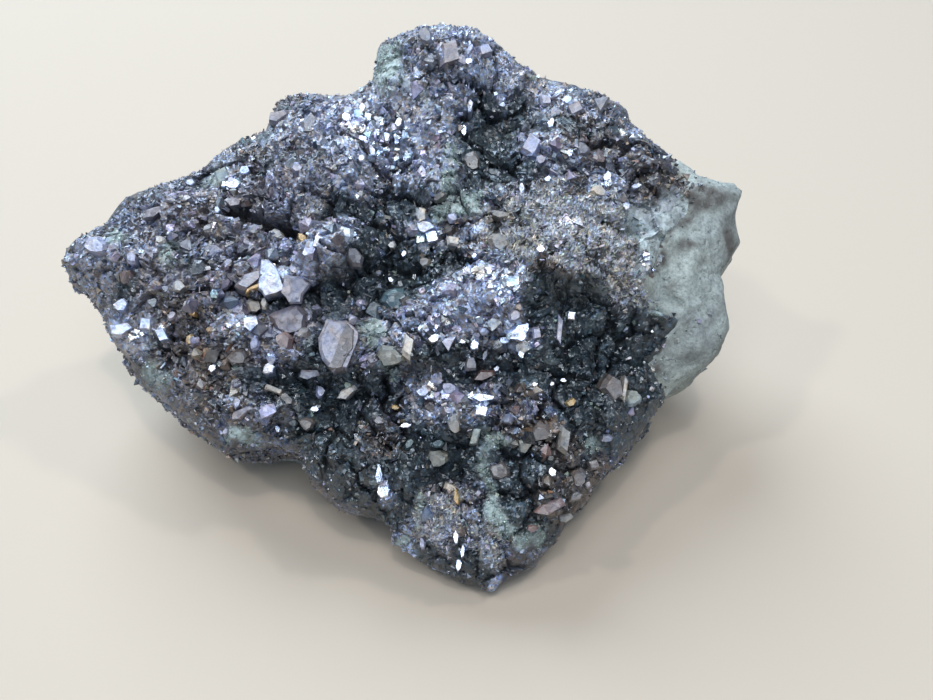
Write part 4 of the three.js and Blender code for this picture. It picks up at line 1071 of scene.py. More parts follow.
# Each: outline, a, b, width, height, turn, tilt to the right, tilt up the slope, finish.
HEROES = [
    # left of the middle
    (SEVEN_SIDED, -6.0, -3.6, 2.7, 3.5, 0, 2, -5, PEARL),
    (LOWER_RIGHT, -5.98, -3.62, 2.64, 3.44, 0, 2, -5, DUSK),
    (KITE, -10.7, 1.0, 1.9, 2.8, 0, -3, -2, SILVER), (TRAPEZE, -9.0, 0.3, 2.1, 2.0, 0, 5, -11, PEARL),
    (HEXAGON, -9.6, -1.6, 2.2, 1.9, 0, -6, -12, MAUVE), (CHIP, -9.7, -3.3, 1.3, 1.2, 0, 0, -10, RUSSET),
    (SLAB, -12.1, 0.9, 1.9, 1.4, 0, -4, 10, MAUVE), (BLOCK, -11.8, 0.35, 1.6, 0.25, 27, 0, 4, GOLD),
    (CHIP, -12.0, -0.6, 1.1, 1.1, 40, 6, -12, TAUPE), (CHIP, -11.3, -0.6, 0.4, 0.8, 0, 0, 2, SAND),
    (SLAB, -12.0, -2.1, 1.2, 1.0, 0, 0, 3, SILVER), (CHIP, -11.8, -3.3, 1.0, 0.7, 60, 0, -4, LILAC),
    (CHIP, -13.4, -2.3, 0.4, 0.4, 0, 0, 2, WHITE), (CHIP, -10.8, -5.1, 0.9, 0.8, 20, 0, 2, SILVER),
    (SLAB, -8.1, -5.4, 1.3, 0.7, 0, 0, -12, GREY), (BLOCK, -10.6, -6.3, 1.4, 0.4, -16, 0, -4, SAND),
    (SLAB, -5.6, -6.5, 1.3, 0.8, 10, 0, -6, SAND), (CHIP, -7.5, -6.4, 0.8, 1.0, 0, 6, -8, LILAC),
    (CHIP, -7.9, -7.6, 0.6, 0.4, 0, 0, 3, WHITE), (CHIP, -10.4, -9.0, 0.4, 0.4, 0, 0, 0, WHITE),
    (CHIP, -13.8, -9.2, 0.5, 0.4, 30, 0, 2, LILAC), (CHIP, -12.9, -7.4, 0.5, 0.8, 0, 0, 0, LILAC),
    (SLAB, -12.4, -8.0, 1.7, 0.9, 12, 0, -8, MAUVE), (CHIP, -14.8, -5.0, 0.5, 0.5, 70, 0, 2, WHITE),
    (CHIP, -16.4, -2.9, 0.8, 0.7, 0, 6, -6, GOLD), (CHIP, -16.1, -1.2, 0.4, 0.6, 50, 0, -6, GOLD),
    (HEXAGON, -8.3, -8.6, 1.1, 1.0, 30, 8, -14, BROWN), (HEXAGON, -13.0, -4.2, 1.2, 1.0, 0, -6, -10, BROWN),
    # painted shade: the shaded facet right of the left lump
    (CHIP, -4.9, 1.9, 1.2, 1.3, 0, 16, -8, PAINTED_SHADE),
    # the lips of the crevice
    (SLAB, -13.7, 6.9, 1.3, 0.8, -20, 0, -4, MAUVE), (CHIP, -8.7, 4.0, 0.9, 0.5, -50, 0, -4, GOLD),
    (CHIP, -12.1, 4.9, 1.2, 0.7, 10, 0, -10, GREY), (CHIP, -10.6, 4.4, 1.0, 0.8, -20, 0, -8, SAND),
    # left wing and upper left
    (SLAB, -21.6, -2.0, 1.7, 1.1, 10, 0, 5, SILVER), (BLOCK, -19.5, -1.9, 0.8, 0.9, 10, 0, 5, SILVER),
    (BLOCK, -18.5, -2.6, 0.6, 0.9, 30, 0, 5, SILVER), (CHIP, -17.7, -1.3, 0.7, 0.7, 0, 0, 0, LILAC),
    (HEXAGON, -23.2, 3.6, 1.6, 1.3, 0, 0, 6, LILAC), (CHIP, -20.3, 2.4, 0.9, 0.9, 20, 0, 2, LILAC),
    (CHIP, -21.5, -0.4, 0.9, 0.8, 0, 0, 4, SILVER), (CHIP, -17.1, 0.6, 1.1, 0.8, -30, 0, -3, SAND),
    (HEXAGON, -15.9, 2.0, 1.0, 1.1, 0, 8, -20, JET), (BLOCK, -14.9, 9.0, 1.0, 1.3, 20, 0, -4, JADE),
    (CHIP, -13.7, 8.1, 1.1, 0.6, 10, 0, 2, WHITE), (CHIP, -13.2, 9.3, 0.7, 0.6, 40, 0, 2, SILVER),
    (CHIP, -17.3, 8.9, 0.7, 0.5, -30, 0, 4, SILVER), (CHIP, -17.1, 7.2, 0.5, 0.4, 0, 0, 2, SILVER),
    (CHIP, -18.4, 3.8, 0.8, 0.7, 10, 0, 0, SAND), (SLAB, -19.3, 6.0, 1.3, 0.8, 20, 4, -8, MAUVE),
    (CHIP, -14.9, 6.3, 0.5, 0.35, -30, 0, 2, SILVER), (SLAB, -8.6, 12.6, 1.5, 1.2, 30, 4, -6, GREY),
    (SLAB, -10.9, 13.6, 1.6, 1.1, 0, -4, -8, MAUVE), (CHIP, -9.0, 8.7, 0.9, 0.8, 0, 0, 2, LILAC),
    # top
    (CHIP, -5.9, 13.0, 0.6, 0.7, 30, 0, 3, WHITE), (CHIP, -4.8, 13.9, 0.5, 0.6, 0, 0, 2, WHITE),
    (CHIP, -2.2, 12.8, 0.5, 0.7, 10, 0, 2, WHITE), (CHIP, -4.7, 11.4, 0.6, 0.5, 0, 0, 3, WHITE),
    (CHIP, -4.0, 10.5, 0.4, 0.9, 20, 0, 0, SILVER), (HEXAGON, 2.4, 12.8, 0.5, 0.8, 0, 0, 2, WHITE),
    (CHIP, 2.9, 14.5, 0.5, 0.9, 0, 0, 2, SILVER), (CHIP, 2.8, 17.0, 0.5, 0.5, 0, 0, 4, WHITE),
    (CHIP, 4.8, 15.7, 0.4, 0.4, 30, 0, 2, WHITE), (CHIP, 5.3, 15.0, 0.4, 0.4, 0, 0, 2, SILVER),
    (BLOCK, 8.4, 15.2, 0.8, 1.0, 10, 0, 0, LILAC), (CHIP, 8.7, 12.8, 0.5, 0.7, 0, 0, 3, WHITE),
    (CHIP, 9.8, 9.9, 0.4, 0.6, 0, 0, 2, WHITE), (CHIP, 12.5, 8.3, 0.6, 0.9, -20, 0, 2, WHITE),
    (HEXAGON, 11.7, 7.2, 0.9, 0.8, 0, 0, -4, SAND), (CHIP, 6.5, 7.4, 0.5, 0.7, 0, 0, 2, SILVER),
    (CHIP, 8.3, 8.3, 0.4, 0.4, 0, 0, 2, WHITE), (HEXAGON, 10.8, 10.3, 1.1, 1.0, 0, 6, -10, GREY),
    (BLOCK, 1.4, 17.6, 1.5, 1.7, 15, 4, -8, MAUVE), (HEXAGON, -0.2, 18.6, 1.2, 1.2, 0, -6, -6, GREY),
    (BLOCK, 3.9, 18.5, 1.1, 1.0, 30, 6, 0, LILAC), (BLOCK, 7.2, 11.0, 1.2, 1.5, -20, 0, -4, LILAC),
    (CHIP, 7.9, 9.8, 0.9, 0.8, 0, 0, 2, LILAC), (WEDGE, 12.4, 14.4, 1.2, 1.5, 0, 4, 0, GREY),
    (HEXAGON, 3.0, 9.8, 1.4, 1.2, 0, 0, -10, BROWN), (BLOCK, 10.6, 14.0, 1.2, 1.0, 40, -6, -8, MAUVE),
    (CHIP, 13.6, 6.0, 0.5, 0.5, 0, 0, 2, SILVER), (CHIP, 14.6, 7.9, 0.8, 0.4, 0, 0, 2, SILVER),
    # middle
    (KITE, -0.2, 4.9, 1.2, 1.0, 20, 0, 3, SILVER), (BLOCK, 0.2, 4.2, 0.9, 1.0, 15, 3, 2, WHITE),
    (SLAB, -0.5, 5.7, 0.9, 0.8, 60, 0, -3, SAND), (BLOCK, 1.7, 3.5, 0.9, 0.6, 0, 0, 3, SAND),
    (CHIP, -1.7, 3.1, 0.35, 0.5, 0, 0, 2, WHITE), (CHIP, -2.7, 1.5, 0.4, 0.4, 0, 0, 2, WHITE),
    (CHIP, -2.5, 3.7, 0.6, 0.5, 0, 0, -4, SAND), (HEXAGON, 4.7, 3.3, 1.3, 1.3, 0, 0, -8, TAUPE),
    (CHIP, 3.2, 2.4, 0.4, 0.35, 0, 0, 2, WHITE), (SLAB, 3.4, 1.4, 0.9, 0.5, 10, 0, 3, SAND),
    (CHIP, 4.2, 1.1, 0.5, 0.6, 0, 0, 3, WHITE), (CHIP, 7.5, 2.2, 0.5, 0.5, 0, 0, 2, WHITE),
    (KITE, 6.2, -2.9, 1.4, 1.2, 80, 0, 3, WHITE), (HEXAGON, 5.8, -2.0, 0.7, 0.8, 0, 0, 0, LILAC),
    (CHIP, 5.2, -3.4, 0.7, 0.5, 0, 0, 3, WHITE), (BLOCK, 7.3, -2.9, 0.6, 0.9, 10, 4, 0, LILAC),
    (BLOCK, 9.8, -1.5, 0.5, 0.7, 0, 0, 3, WHITE), (BLOCK, 8.9, -2.6, 0.38, 1.8, -6, 0, -4, LILAC),
    (CHIP, 0.5, -3.5, 0.7, 0.6, 0, 0, 3, WHITE), (WEDGE, 1.4, -3.8, 1.1, 1.0, 0, 0, -5, LILAC),
    (CHIP, 3.2, -3.8, 0.6, 0.7, 20, 0, 2, WHITE), (CHIP, 3.9, -4.2, 0.35, 0.8, -25, 0, 0, GREY),
    (BLOCK, -1.2, -4.1, 0.8, 1.5, -8, 0, 2, SAND), (HEXAGON, -2.3, -4.5, 1.8, 1.4, 0, 0, -12, OLIVE),
    (HEXAGON, 2.9, -4.9, 1.0, 1.0, 0, 0, -8, GREY), (SLAB, 3.9, -5.4, 1.4, 1.0, 0, 4, -8, RUSSET),
    (CHIP, 6.3, -4.3, 0.5, 0.5, 0, 0, 2, WHITE), (CHIP, 4.7, -5.1, 0.35, 0.35, 0, 0, 2, SILVER),
    (CHIP, 7.2, -6.3, 0.4, 0.3, 0, 0, 2, WHITE), (CHIP, 8.5, -6.1, 0.35, 0.35, 0, 0, 2, SILVER),
    (CHIP, 9.3, -5.7, 0.4, 0.3, 0, 0, 2, WHITE), (SLAB, 5.1, 5.4, 1.5, 0.6, -10, 0, -4, TAUPE),
    (HEXAGON, -2.4, -0.3, 1.5, 1.5, 20, 6, -18, TEAL), (CHIP, -0.2, 2.5, 1.0, 0.7, 0, 0, -8, TAUPE),
    # foot
    (SLAB, 3.8, -7.2, 1.4, 0.8, -20, 0, 3, WHITE), (BLOCK, 3.6, -8.1, 0.8, 0.8, -10, 0, 2, WHITE),
    (CHIP, -0.3, -6.7, 0.9, 0.6, 0, 0, 2, SILVER), (HEXAGON, 1.5, -6.5, 1.1, 0.9, 0, 0, -3, LILAC),
    (CHIP, -2.2, -7.6, 0.7, 0.4, -20, 0, 0, GOLD), (CHIP, -1.5, -8.9, 0.7, 0.4, 0, 0, 2, WHITE),
    (HEXAGON, 1.8, -8.9, 1.1, 1.1, 0, 0, -10, TAUPE), (CHIP, 0.7, -10.1, 0.8, 0.5, 0, 0, -8, TEAL),
    (HEXAGON, 0.7, -11.0, 1.6, 1.1, 0, 0, -12, OLIVE), (CHIP, -1.2, -10.1, 0.7, 0.8, 0, 0, -8, TEAL),
    (BLOCK, 3.2, -9.7, 0.5, 1.1, -12, 0, -2, JADE), (CHIP, 8.3, -12.2, 0.6, 0.6, 20, 0, 2, WHITE),
    (SLAB, 8.1, -14.4, 1.8, 0.9, 12, 0, -6, RUSSET), (BLOCK, 9.1, -9.9, 0.8, 1.6, -10, 4, -8, TAUPE),
    (HEXAGON, 7.7, -9.4, 1.2, 1.2, 0, 0, -14, BROWN), (SLAB, 1.5, -13.0, 0.9, 0.7, -30, 0, -6, SAND),
    (CHIP, 2.0, -13.7, 0.4, 1.0, 10, 0, -6, GOLD), (CHIP, 1.9, -16.4, 0.35, 0.8, 0, 0, 4, WHITE),
    (CHIP, 2.4, -17.3, 0.35, 0.8, 0, 0, 5, WHITE), (CHIP, 2.1, -18.2, 0.35, 0.9, 0, 0, 6, WHITE),
    (CHIP, -0.3, -16.8, 0.5, 1.0, 0, 0, 4, LILAC), (SLAB, 12.6, -6.3, 1.6, 2.0, 60, 6, -12, BROWN),
    (BLOCK, 13.4, -6.3, 0.3, 1.8, -10, 8, -4, SAND), (CHIP, 9.7, -7.3, 0.7, 0.6, 0, 0, -4, GOLD),
    (CHIP, -2.9, -13.4, 0.9, 0.9, 0, 0, 3, WHITE), (CHIP, -3.1, -12.3, 0.5, 1.3, 0, 0, 2, WHITE),
    (HEXAGON, 4.8, -12.0, 1.3, 1.1, 0, 0, -12, BROWN), (HEXAGON, 10.2, -12.2, 1.2, 1.2, 0, 4, -12, BROWN),
    (HEXAGON, 14.1, -6.8, 1.0, 1.2, 0, 8, -12, JADE), (SLAB, 6.6, -10.2, 1.0, 1.1, 0, -4, -12, OLIVE),
    (CHIP, 10.0, -13.6, 1.0, 0.7, 20, 4, -10, BROWN), (SLAB, 9.3, -15.0, 1.0, 0.6, 10, 0, -8, TAUPE),
    (BLOCK, 11.3, -11.4, 0.8, 0.7, 30, 6, -8, BROWN), (CHIP, 7.0, -15.7, 0.7, 0.5, 0, 0, -6, RUSSET),
    (CHIP, 10.9, -12.8, 0.6, 0.5, 50, 0, -4, MAUVE), (CHIP, 12.2, -9.6, 0.8, 0.6, 10, 6, -8, GREY),
]
# Patches of small bright crystals that face one way: a, b, half-width, half-height, how many.
SPARKLES = [
    (5.2, 0.0, 0.8, 0.75, 90), (3.8, 1.3, 0.9, 0.4, 36), (6.0, -2.9, 0.8, 0.6, 30),
    (-5.2, 12.6, 1.2, 0.9, 60), (-3.2, 11.4, 1.8, 1.4, 60), (9.3, 4.6, 0.8, 0.35, 26),
    (-0.1, 4.5, 0.6, 0.7, 20), (-2.9, -13.0, 0.35, 0.9, 14), (-13.9, 8.4, 0.8, 0.5, 16),
    (3.7, -7.4, 0.7, 0.5, 14), (0.4, -6.6, 0.9, 0.5, 18), (15.2, 2.4, 0.6, 0.6, 12),
    (-12.3, -2.3, 0.9, 0.4, 12), (-20.5, -2.1, 1.5, 0.5, 14), (12.5, 8.2, 0.5, 0.6, 10),
    (1.0, -2.4, 1.6, 0.8, 16), (-10.6, 1.2, 0.9, 1.2, 6), (-7.4, 2.9, 0.5, 0.3, 4),
]
SPARKLE_OUTLINES = [CHIP, BLOCK, WEDGE, KITE]


# ---------------------------------------------------------------- where crystals stand

FACE_BOX = ((-27.5, 23.5), (-20.5, 23))  # holds the whole face: a and b
CRYSTAL_LIMIT, STRAY_LIMIT = 0.995, 0.985  # crystals and stray grains stay inside these shares of outlines
STEEPEST = 3  # ground this many times its flat area gets the most crystals
# Where most blocky crystals stand: a, b, half-width, half-height, turn.
BLOCKY_PATCHES = [(-11.0, -2.0, 5.0, 4.5, 0), (-0.5, 2.6, 4.0, 2.4, 0), (3.0, -4.4, 7.0, 2.6, 0),
                  (-7.0, 3.4, 3.0, 2.6, 0), (8.0, -9.6, 5.0, 2.6, 0), (-8.0, -7.0, 5.0, 2.0, 0)]
BLOCKY_ELSEWHERE = 0.22
SMALL_RIM = (0.86, 0.12)  # the share of the face from which crystals get smaller, and over which they do


def top_places(random, count, spread=None):
    """Random points of the crust's face, more of them on steep ground."""
    a, b = (random.uniform(*limits, 40 * count) for limits in FACE_BOX)
    keep = outline_share(CRUST_OUTLINE, a, b) < CRYSTAL_LIMIT
    if spread is not None:
        keep &= random.random(len(a)) < spread(zone_weights(a, b))
    a, b = a[keep][:6 * count], b[keep][:6 * count]
    step = 0.12
    height = ground_height(a, b)
    slope_a = (ground_height(a + step, b) - height) / step
    slope_b = (ground_height(a, b + step) - height) / step
    area = np.sqrt(1 + slope_a**2 + slope_b**2)
    keep = random.random(len(a)) * STEEPEST < np.minimum(area, STEEPEST)
    a, b, height, slope_a, slope_b = (v[keep][:count] for v in (a, b, height, slope_a, slope_b))
    normals = np.column_stack([-slope_a, -slope_b, np.ones(len(a))])
    normals /= np.linalg.norm(normals, axis=1, keepdims=True)
    return leaned(a, b, height), face_to_part(normals), a, b


def side_places(random, count):
    """Random points of the crust's side, where it wraps over the rim."""
    steps = 4000
    a, b, rim = rim_at(rim_walk(steps)[random.integers(0, steps, count)])
    keep = ~is_bare(a, b)
    a, b, rim = a[keep], b[keep], rim[keep]
    return crust_side(rim, a, b, 0.96 * random.random(len(a))), outward_of(rim), a, b


def clear_of_heroes(a, b):
    """Whether points of the face lie beside the crystals that stand out most, and out of the crevice."""
    clear = in_slit(a, b, SLIT_CLEARANCE) < 0.2
    knob_a, knob_b, wide, tall, *_ = KNOBS[0]
    on_knob = np.hypot((a - knob_a) / wide, (b - knob_b) / tall) <= 1
    clear &= ~on_knob | (fraction(9e3 * a) < KNOB_COVER)
    for _, hero_a, hero_b, wide, tall, *_ in HEROES:
        reach = HERO_CLEARANCE * (WIDE_CLEARANCE if wide > WIDE_HERO else 1)
        clear &= np.hypot((a - hero_a) / wide, (b - hero_b) / tall) > reach
    return clear


def scatter(random, count, side_share, spread=None):
    """Points, directions out of the ground and kinds of growth for a number of crystals."""
    top = top_places(random, count, spread)
    side = side_places(random, int(count * side_share))
    points, out, a, b = (np.concatenate(pair) for pair in zip(top, side))
    clear = clear_of_heroes(a, b) & (chunk_relief(a, b)[1] < CLEAR_GAP)
    return points[clear], out[clear], pick(random, zone_weights(a[clear], b[clear]))


def near_rim(points):
    """From 0 inside the crust to 1 at its rim, where crystals are small."""
    start, width = SMALL_RIM
    return np.clip((outline_share(FACE_OUTLINE, *face_places(points)) - start) / width, 0, 1)


def kind_is(kinds, *names):
    """Whether crystals stand in any of the named kinds of growth."""
    return np.isin(kinds, [KINDS.index(name) for name in names])


def thinned(random, places, share, *kinds):
    """Places of which only a share is kept in some kinds of growth."""
    keep = ~kind_is(places[2], *kinds) | (random.random(len(places[2])) < share)
    return [values[keep] for values in places]


def blocky_share(points):
    """How many of the blocky crystals stand at points: most round the middle of the face."""
    a, b = face_places(points)
    share = np.full(len(points), BLOCKY_ELSEWHERE)
    for patch in BLOCKY_PATCHES:
        share += spot(a, b, *patch)
    return share


# ---------------------------------------------------------------- crystals as joined meshes

# How many crystals are tried on the face, and the share of that number on the crust's side.
BLOCKY_TRIES = (4600, 0.3)
DRUSE_TRIES = (5600, 0.9)
NEEDLE_TRIES = (11500, 0.03)
BLADE_TRIES = (9000, 0.4)
MOSS_TRIES = (9000, 0.02)
# Their sizes: the least, and how much more the largest have.
BLOCKY_SIZES = (0.34, 1.0)
DRUSE_SIZES = (0.14, 0.30)
NEEDLE_SIZES = (0.18, 0.28)
BLADE_SIZES = (0.32, 0.4)
MOSS_SIZES = (0.06, 0.09)
STRAY_SIZES = (0.12, 0.4)
SPARKLE_SIZES = (0.2, 0.5)
SOFT_GROWTH = ("moss", "fur", "dark", "dust")
SOFT_SHARE, SOFT_SIZE = 0.2, 0.6  # how many of the blocky crystals such growth has, and how big they are
RIM_BLOCKY, RIM_BLADES = 0.5, 0.6  # how much smaller blocky crystals and blades are at the rim
BLOCKY_SINK = -0.12  # this share of its size moves a blocky crystal out of the ground


def quaternion_turns(q):
    """Rotation matrices of quaternions."""
    w, x, y, z = (q / np.linalg.norm(q, axis=1, keepdims=True)).T
    return np.array([
        [1 - 2 * (y * y + z * z), 2 * (x * y - w * z), 2 * (x * z + w * y)],
        [2 * (x * y + w * z), 1 - 2 * (x * x + z * z), 2 * (y * z - w * x)],
        [2 * (x * z - w * y), 2 * (y * z + w * x), 1 - 2 * (x * x + y * y)],
    ]).transpose(2, 0, 1)


def random_turns(random, count):
    """Rotation matrices, evenly spread over all turns."""
    return quaternion_turns(random.normal(size=(count, 4)))


def grown_turns(random, points, groups, wobble):
    """Rotation matrices that neighbours share, as crystals grown on one another do, with some wobble."""
    seeds = points[random.integers(0, len(points), groups)]
    nearest = np.array([np.argmin(((seeds - point) ** 2).sum(1)) for point in points])
    shared = random.normal(size=(groups, 4))[nearest]
    shared /= np.linalg.norm(shared, axis=1, keepdims=True)
    return quaternion_turns(shared + wobble * random.normal(size=shared.shape))


def turns_along(random, directions, wobble):
    """Rotation matrices whose third axis follows directions, with some wobble, and a random spin."""
    up = directions + wobble * random.normal(size=directions.shape)
    up /= np.linalg.norm(up, axis=1, keepdims=True)
    side = np.cross(up, random.normal(size=up.shape))
    side /= np.linalg.norm(side, axis=1, keepdims=True)
    return np.stack([side, np.cross(up, side), up], axis=2)


class CrystalMesh:
    """Crystals of several forms, gathered into one mesh with a finish for each."""

    def __init__(self):
        self.points, self.faces, self.finishes, self.total = [], [], [], 0

    def add(self, shape, centres, turns, sizes, finish):
        corners, triangles = shape
        count, each = len(centres), len(corners)
        scaled = corners[None, :, :] * sizes[:, None, None]
        placed = np.einsum("nij,nkj->nki", turns, scaled) + centres[:, None, :]
        self.points.append(placed.reshape(-1, 3))
        starts = self.total + each * np.arange(count)
        self.faces.append((triangles[None, :, :] + starts[:, None, None]).reshape(-1, 3))
        self.finishes.append(np.repeat(finish, each, axis=0))
        self.total += count * each

    def add_mixed(self, random, shapes, centres, turns, sizes, finish):
        which = random.integers(0, len(shapes), len(centres))
        for index, shape in enumerate(shapes):
            here = which == index
            self.add(shape, centres[here], turns[here], sizes[here], finish[here])

    def make(self, name, material):
        points, finish = np.vstack(self.points), np.vstack(self.finishes)
        points[:, 2] = np.maximum(points[:, 2], 0.02)
        piece = make_object(name, points, np.vstack(self.faces), material)
        set_colours(piece, "tint", finish[:, :3])
        set_values(piece, "metal", finish[:, 3])
        set_values(piece, "dullness", finish[:, 4])
        return piece


def grown(name, material, random, forms, places, sizes, turns_of, rise=0.0):
    """A mesh of crystals of some forms at places, each moved out of the ground by a share of its size."""
    points, out, kinds = places
    finish = finishes_for(random, kinds)
    turns = turns_of(points, out)
    mesh = CrystalMesh()
    mesh.add_mixed(random, forms, points + out * (rise * sizes)[:, None], turns, sizes, finish)
    return mesh.make(name, material)


def sizes_from(random, count, least, spread, power=2):
    """Random sizes, most of them near the least."""
    return least + spread * random.random(count) ** power


def blocky_crystals(material):
    """Sphalerite and galena crystals big enough to show their faces."""
    random = np.random.default_rng(SEED)
    points, out, kinds = scatter(random, *BLOCKY_TRIES)
    sizes = sizes_from(random, len(points), *BLOCKY_SIZES, power=3)
    share = blocky_share(points) * np.where(kind_is(kinds, *SOFT_GROWTH), SOFT_SHARE, 1)
    keep = random.random(len(points)) < share
    points, out, kinds, sizes = points[keep], out[keep], kinds[keep], sizes[keep]
    sizes *= np.where(kind_is(kinds, *SOFT_GROWTH), SOFT_SIZE, 1) * (1 - RIM_BLOCKY * near_rim(points))
    finish = finishes_for(random, kinds)
    turns = grown_turns(random, points, 260, 0.16)
    centres = points + out * (BLOCKY_SINK * sizes)[:, None]
    galena = finish[:, 3] > 0.9
    mesh = CrystalMesh()
    for forms, here in ((GALENA_FORMS, galena), (SPHALERITE_FORMS, ~galena)):
        mesh.add_mixed(random, forms, centres[here], turns[here], sizes[here], finish[here])
    return mesh.make("blocky_crystals", material)


def fine_druse(material):
    """Small crystals and grains between the blocky ones."""
    random = np.random.default_rng(SEED + 1)
    places = thinned(random, scatter(random, *DRUSE_TRIES), 0.35, "fur", "dust", "moss")
    sizes = sizes_from(random, len(places[0]), *DRUSE_SIZES)
    return grown("fine_druse", material, random, GRAIN_FORMS, places, sizes,
                 lambda points, out: grown_turns(random, points, 500, 0.3), rise=0.05)


def blades_and_needles(material):
    """Thin plates and needles that stand out of the furry ground."""
    random = np.random.default_rng(SEED + 2)
    furry = KINDS.index("fur")
    places = scatter(random, *NEEDLE_TRIES, spread=lambda weights: 0.01 + weights[:, furry])
    sizes = sizes_from(random, len(places[0]), *NEEDLE_SIZES)
    return grown("blades_and_needles", material, random, [BLADE, NEEDLE], places, sizes,
                 lambda points, out: turns_along(random, out + np.array([0, 0.2, 0.4]), 0.5), rise=0.12)


def bladed_druse(material):
    """Short blades that lie in bundles over the rest of the crust."""
    random = np.random.default_rng(SEED + 4)
    places = thinned(random, scatter(random, *BLADE_TRIES), 0.15, *SOFT_GROWTH)
    sizes = sizes_from(random, len(places[0]), *BLADE_SIZES) * (1 - RIM_BLADES * near_rim(places[0]))

    def bundled(points, out):
        lean = np.column_stack([noise3(points, 4.0, seed) for seed in (1.0, 2.0, 3.0)])
        return turns_along(random, out + 1.6 * lean, 0.3)

    return grown("bladed_druse", material, random, [BLADE], places, sizes, bundled)


def chlorite_moss(material):
    """Green grains in the moss zones."""
    random = np.random.default_rng(SEED + 3)
    moss = KINDS.index("moss")
    points, out, _ = scatter(random, *MOSS_TRIES, spread=lambda weights: weights[:, moss] ** 1.5)
    sizes = sizes_from(random, len(points), *MOSS_SIZES)
    return grown("chlorite_moss", material, random, GRAIN_FORMS, (points, out, np.full(len(points), moss)),
                 sizes, lambda points, out: random_turns(random, len(points)))


def rotation(degrees, first, second):
    """A matrix that turns one axis towards another."""
    matrix = np.eye(3)
    angle = math.radians(degrees)
    matrix[first, first] = matrix[second, second] = math.cos(angle)
    matrix[first, second], matrix[second, first] = -math.sin(angle), math.sin(angle)
    return matrix


def hero_crystals(material):
    """The crystals that stand out most, each at its own place and turn."""
    mesh = CrystalMesh()
    lift = 0
    for lot, (outline, a, b, wide, tall, turn, right, up, finish) in enumerate(HEROES):
        slope = BRIGHT_SLOPE if finish in BRIGHT_FINISHES else DARK_SLOPE
        uneven = MEASURED_UNEVEN if outline in WELL_SEEN else UNEVEN
        shape = plate(outline, wide, tall, lot, slope, uneven=uneven)
        spin = rotation(turn, 0, 1)
        axes = face_to_part((rotation(up, 2, 1) @ rotation(right, 2, 0) @ spin).T).T
        under = (spin @ shape[0].T).T
        height = ground_height(a + under[:, 0], b + under[:, 1])
        ground = (1 - HIGH_GROUND) * height.mean() + HIGH_GROUND * height.max()
        lift = lift + LAID_ON if outline is LOWER_RIGHT else ground + HERO_RISE - HERO_DEPTH / 2
        centre = leaned(*np.array([[a], [b], [lift]]))
        mesh.add(shape, centre, axes[None], np.ones(1), np.array([finish]))
    return mesh.make("hero_crystals", material)


def stray_grains(material, surface):
    """Grains of the crust that lie on the bare rock beside it."""
    random = np.random.default_rng(SEED + 6)
    points, _, a, b = surface
    away = outline_share(CRUST_OUTLINE, a, b) - 1
    chance = np.exp(-away / STRAY_REACH) * (away > 0) * (outline_share(FACE_OUTLINE, a, b) < STRAY_LIMIT)
    places = points[:len(a)][random.random(len(a)) < STRAY_SHARE * chance]
    count = len(places)
    sizes = sizes_from(random, count, *STRAY_SIZES, power=3)
    finish = varied(random, np.array([UMBER, STONE, GREEN, BLACK, PALE])[random.integers(0, 5, count)])
    mesh = CrystalMesh()
    mesh.add_mixed(random, GRAIN_FORMS, places, random_turns(random, count), sizes, finish)
    return mesh.make("stray_grains", material)


def sparkling_patches(material):
    """Patches of small bright crystals that face one way."""
    random = np.random.default_rng(SEED + 5)
    mesh = CrystalMesh()
    shapes = [plate(outline, 1, 1, n, 0.12, 1.2) for n, outline in enumerate(SPARKLE_OUTLINES)]
    for patch_a, patch_b, wide, tall, count in SPARKLES:
        a = patch_a + 0.6 * wide * random.normal(size=count)
        b = patch_b + 0.6 * tall * random.normal(size=count)
        sizes = sizes_from(random, count, *SPARKLE_SIZES)
        centres = leaned(a, b, ground_height(a, b) - 0.35 * sizes)
        up = np.tile([0, -LEAN_SIN, LEAN_COS], (count, 1))
        finish = varied(random, np.array([WHITE, WHITE, SILVER])[random.integers(0, 3, count)])
        mesh.add_mixed(random, shapes, centres, turns_along(random, up, 0.1), sizes, finish)
    return mesh.make("sparkling_patches", material)


# ---------------------------------------------------------------- materials

NEUTRAL = (1.0, 1.0, 1.0)
# How a colour shifts with a random number, from bluish to brownish.
WARM_AND_COOL = [(0.34, (0.74, 0.92, 1.28)), (0.5, NEUTRAL), (0.64, (1.28, 0.98, 0.66))]
BLOTCHES = [(0.38, (0.32, 0.33, 0.37)), (0.50, (0.85, 0.85, 0.87)), (0.66, (1.15, 1.15, 1.15))]
ROCK_COLOURS = [(0.30, (0.27, 0.29, 0.28)), (0.46, (0.39, 0.42, 0.39)), (0.62, (0.47, 0.50, 0.455)),
                (0.80, (0.53, 0.55, 0.49))]
STREAKED = ((0, 0, math.radians(30)), (1, 0.4, 1))  # turn and scale of the rock's streaks
FIBROUS = ((math.radians(20), 0, math.radians(12)), (1, 0.35, 1))  # and of the ground's fibres
# What shades the rock: strength, scale, detail and roughness of the noise, its turn and scale, shades.
ROCK_SHADES = [
    (1.0, 4200, 4, 0.7, None, [(0.35, (0.6, 0.62, 0.62)), (0.6, NEUTRAL)]),  # grains
    (1.0, 1500, 6, 0.75, None, [(0.30, (0.22, 0.22, 0.24)), (0.40, NEUTRAL)]),  # dark specks
    (0.8, 900, 5, 0.7, STREAKED, [(0.34, (0.62, 0.62, 0.63)), (0.52, NEUTRAL)]),  # streaks
    (0.9, 110, 4, 0.6, None, [(0.48, NEUTRAL), (0.66, (0.88, 0.79, 0.66))]),  # patina
]
DARK_PATCH_COLOUR = (0.095, 0.085, 0.075, 1)
PITS = [(0.28, (0.0, 0.0, 0.0)), (0.40, NEUTRAL)]
SPHALERITE_IOR, GROUND_IOR = 2.37, 2.0


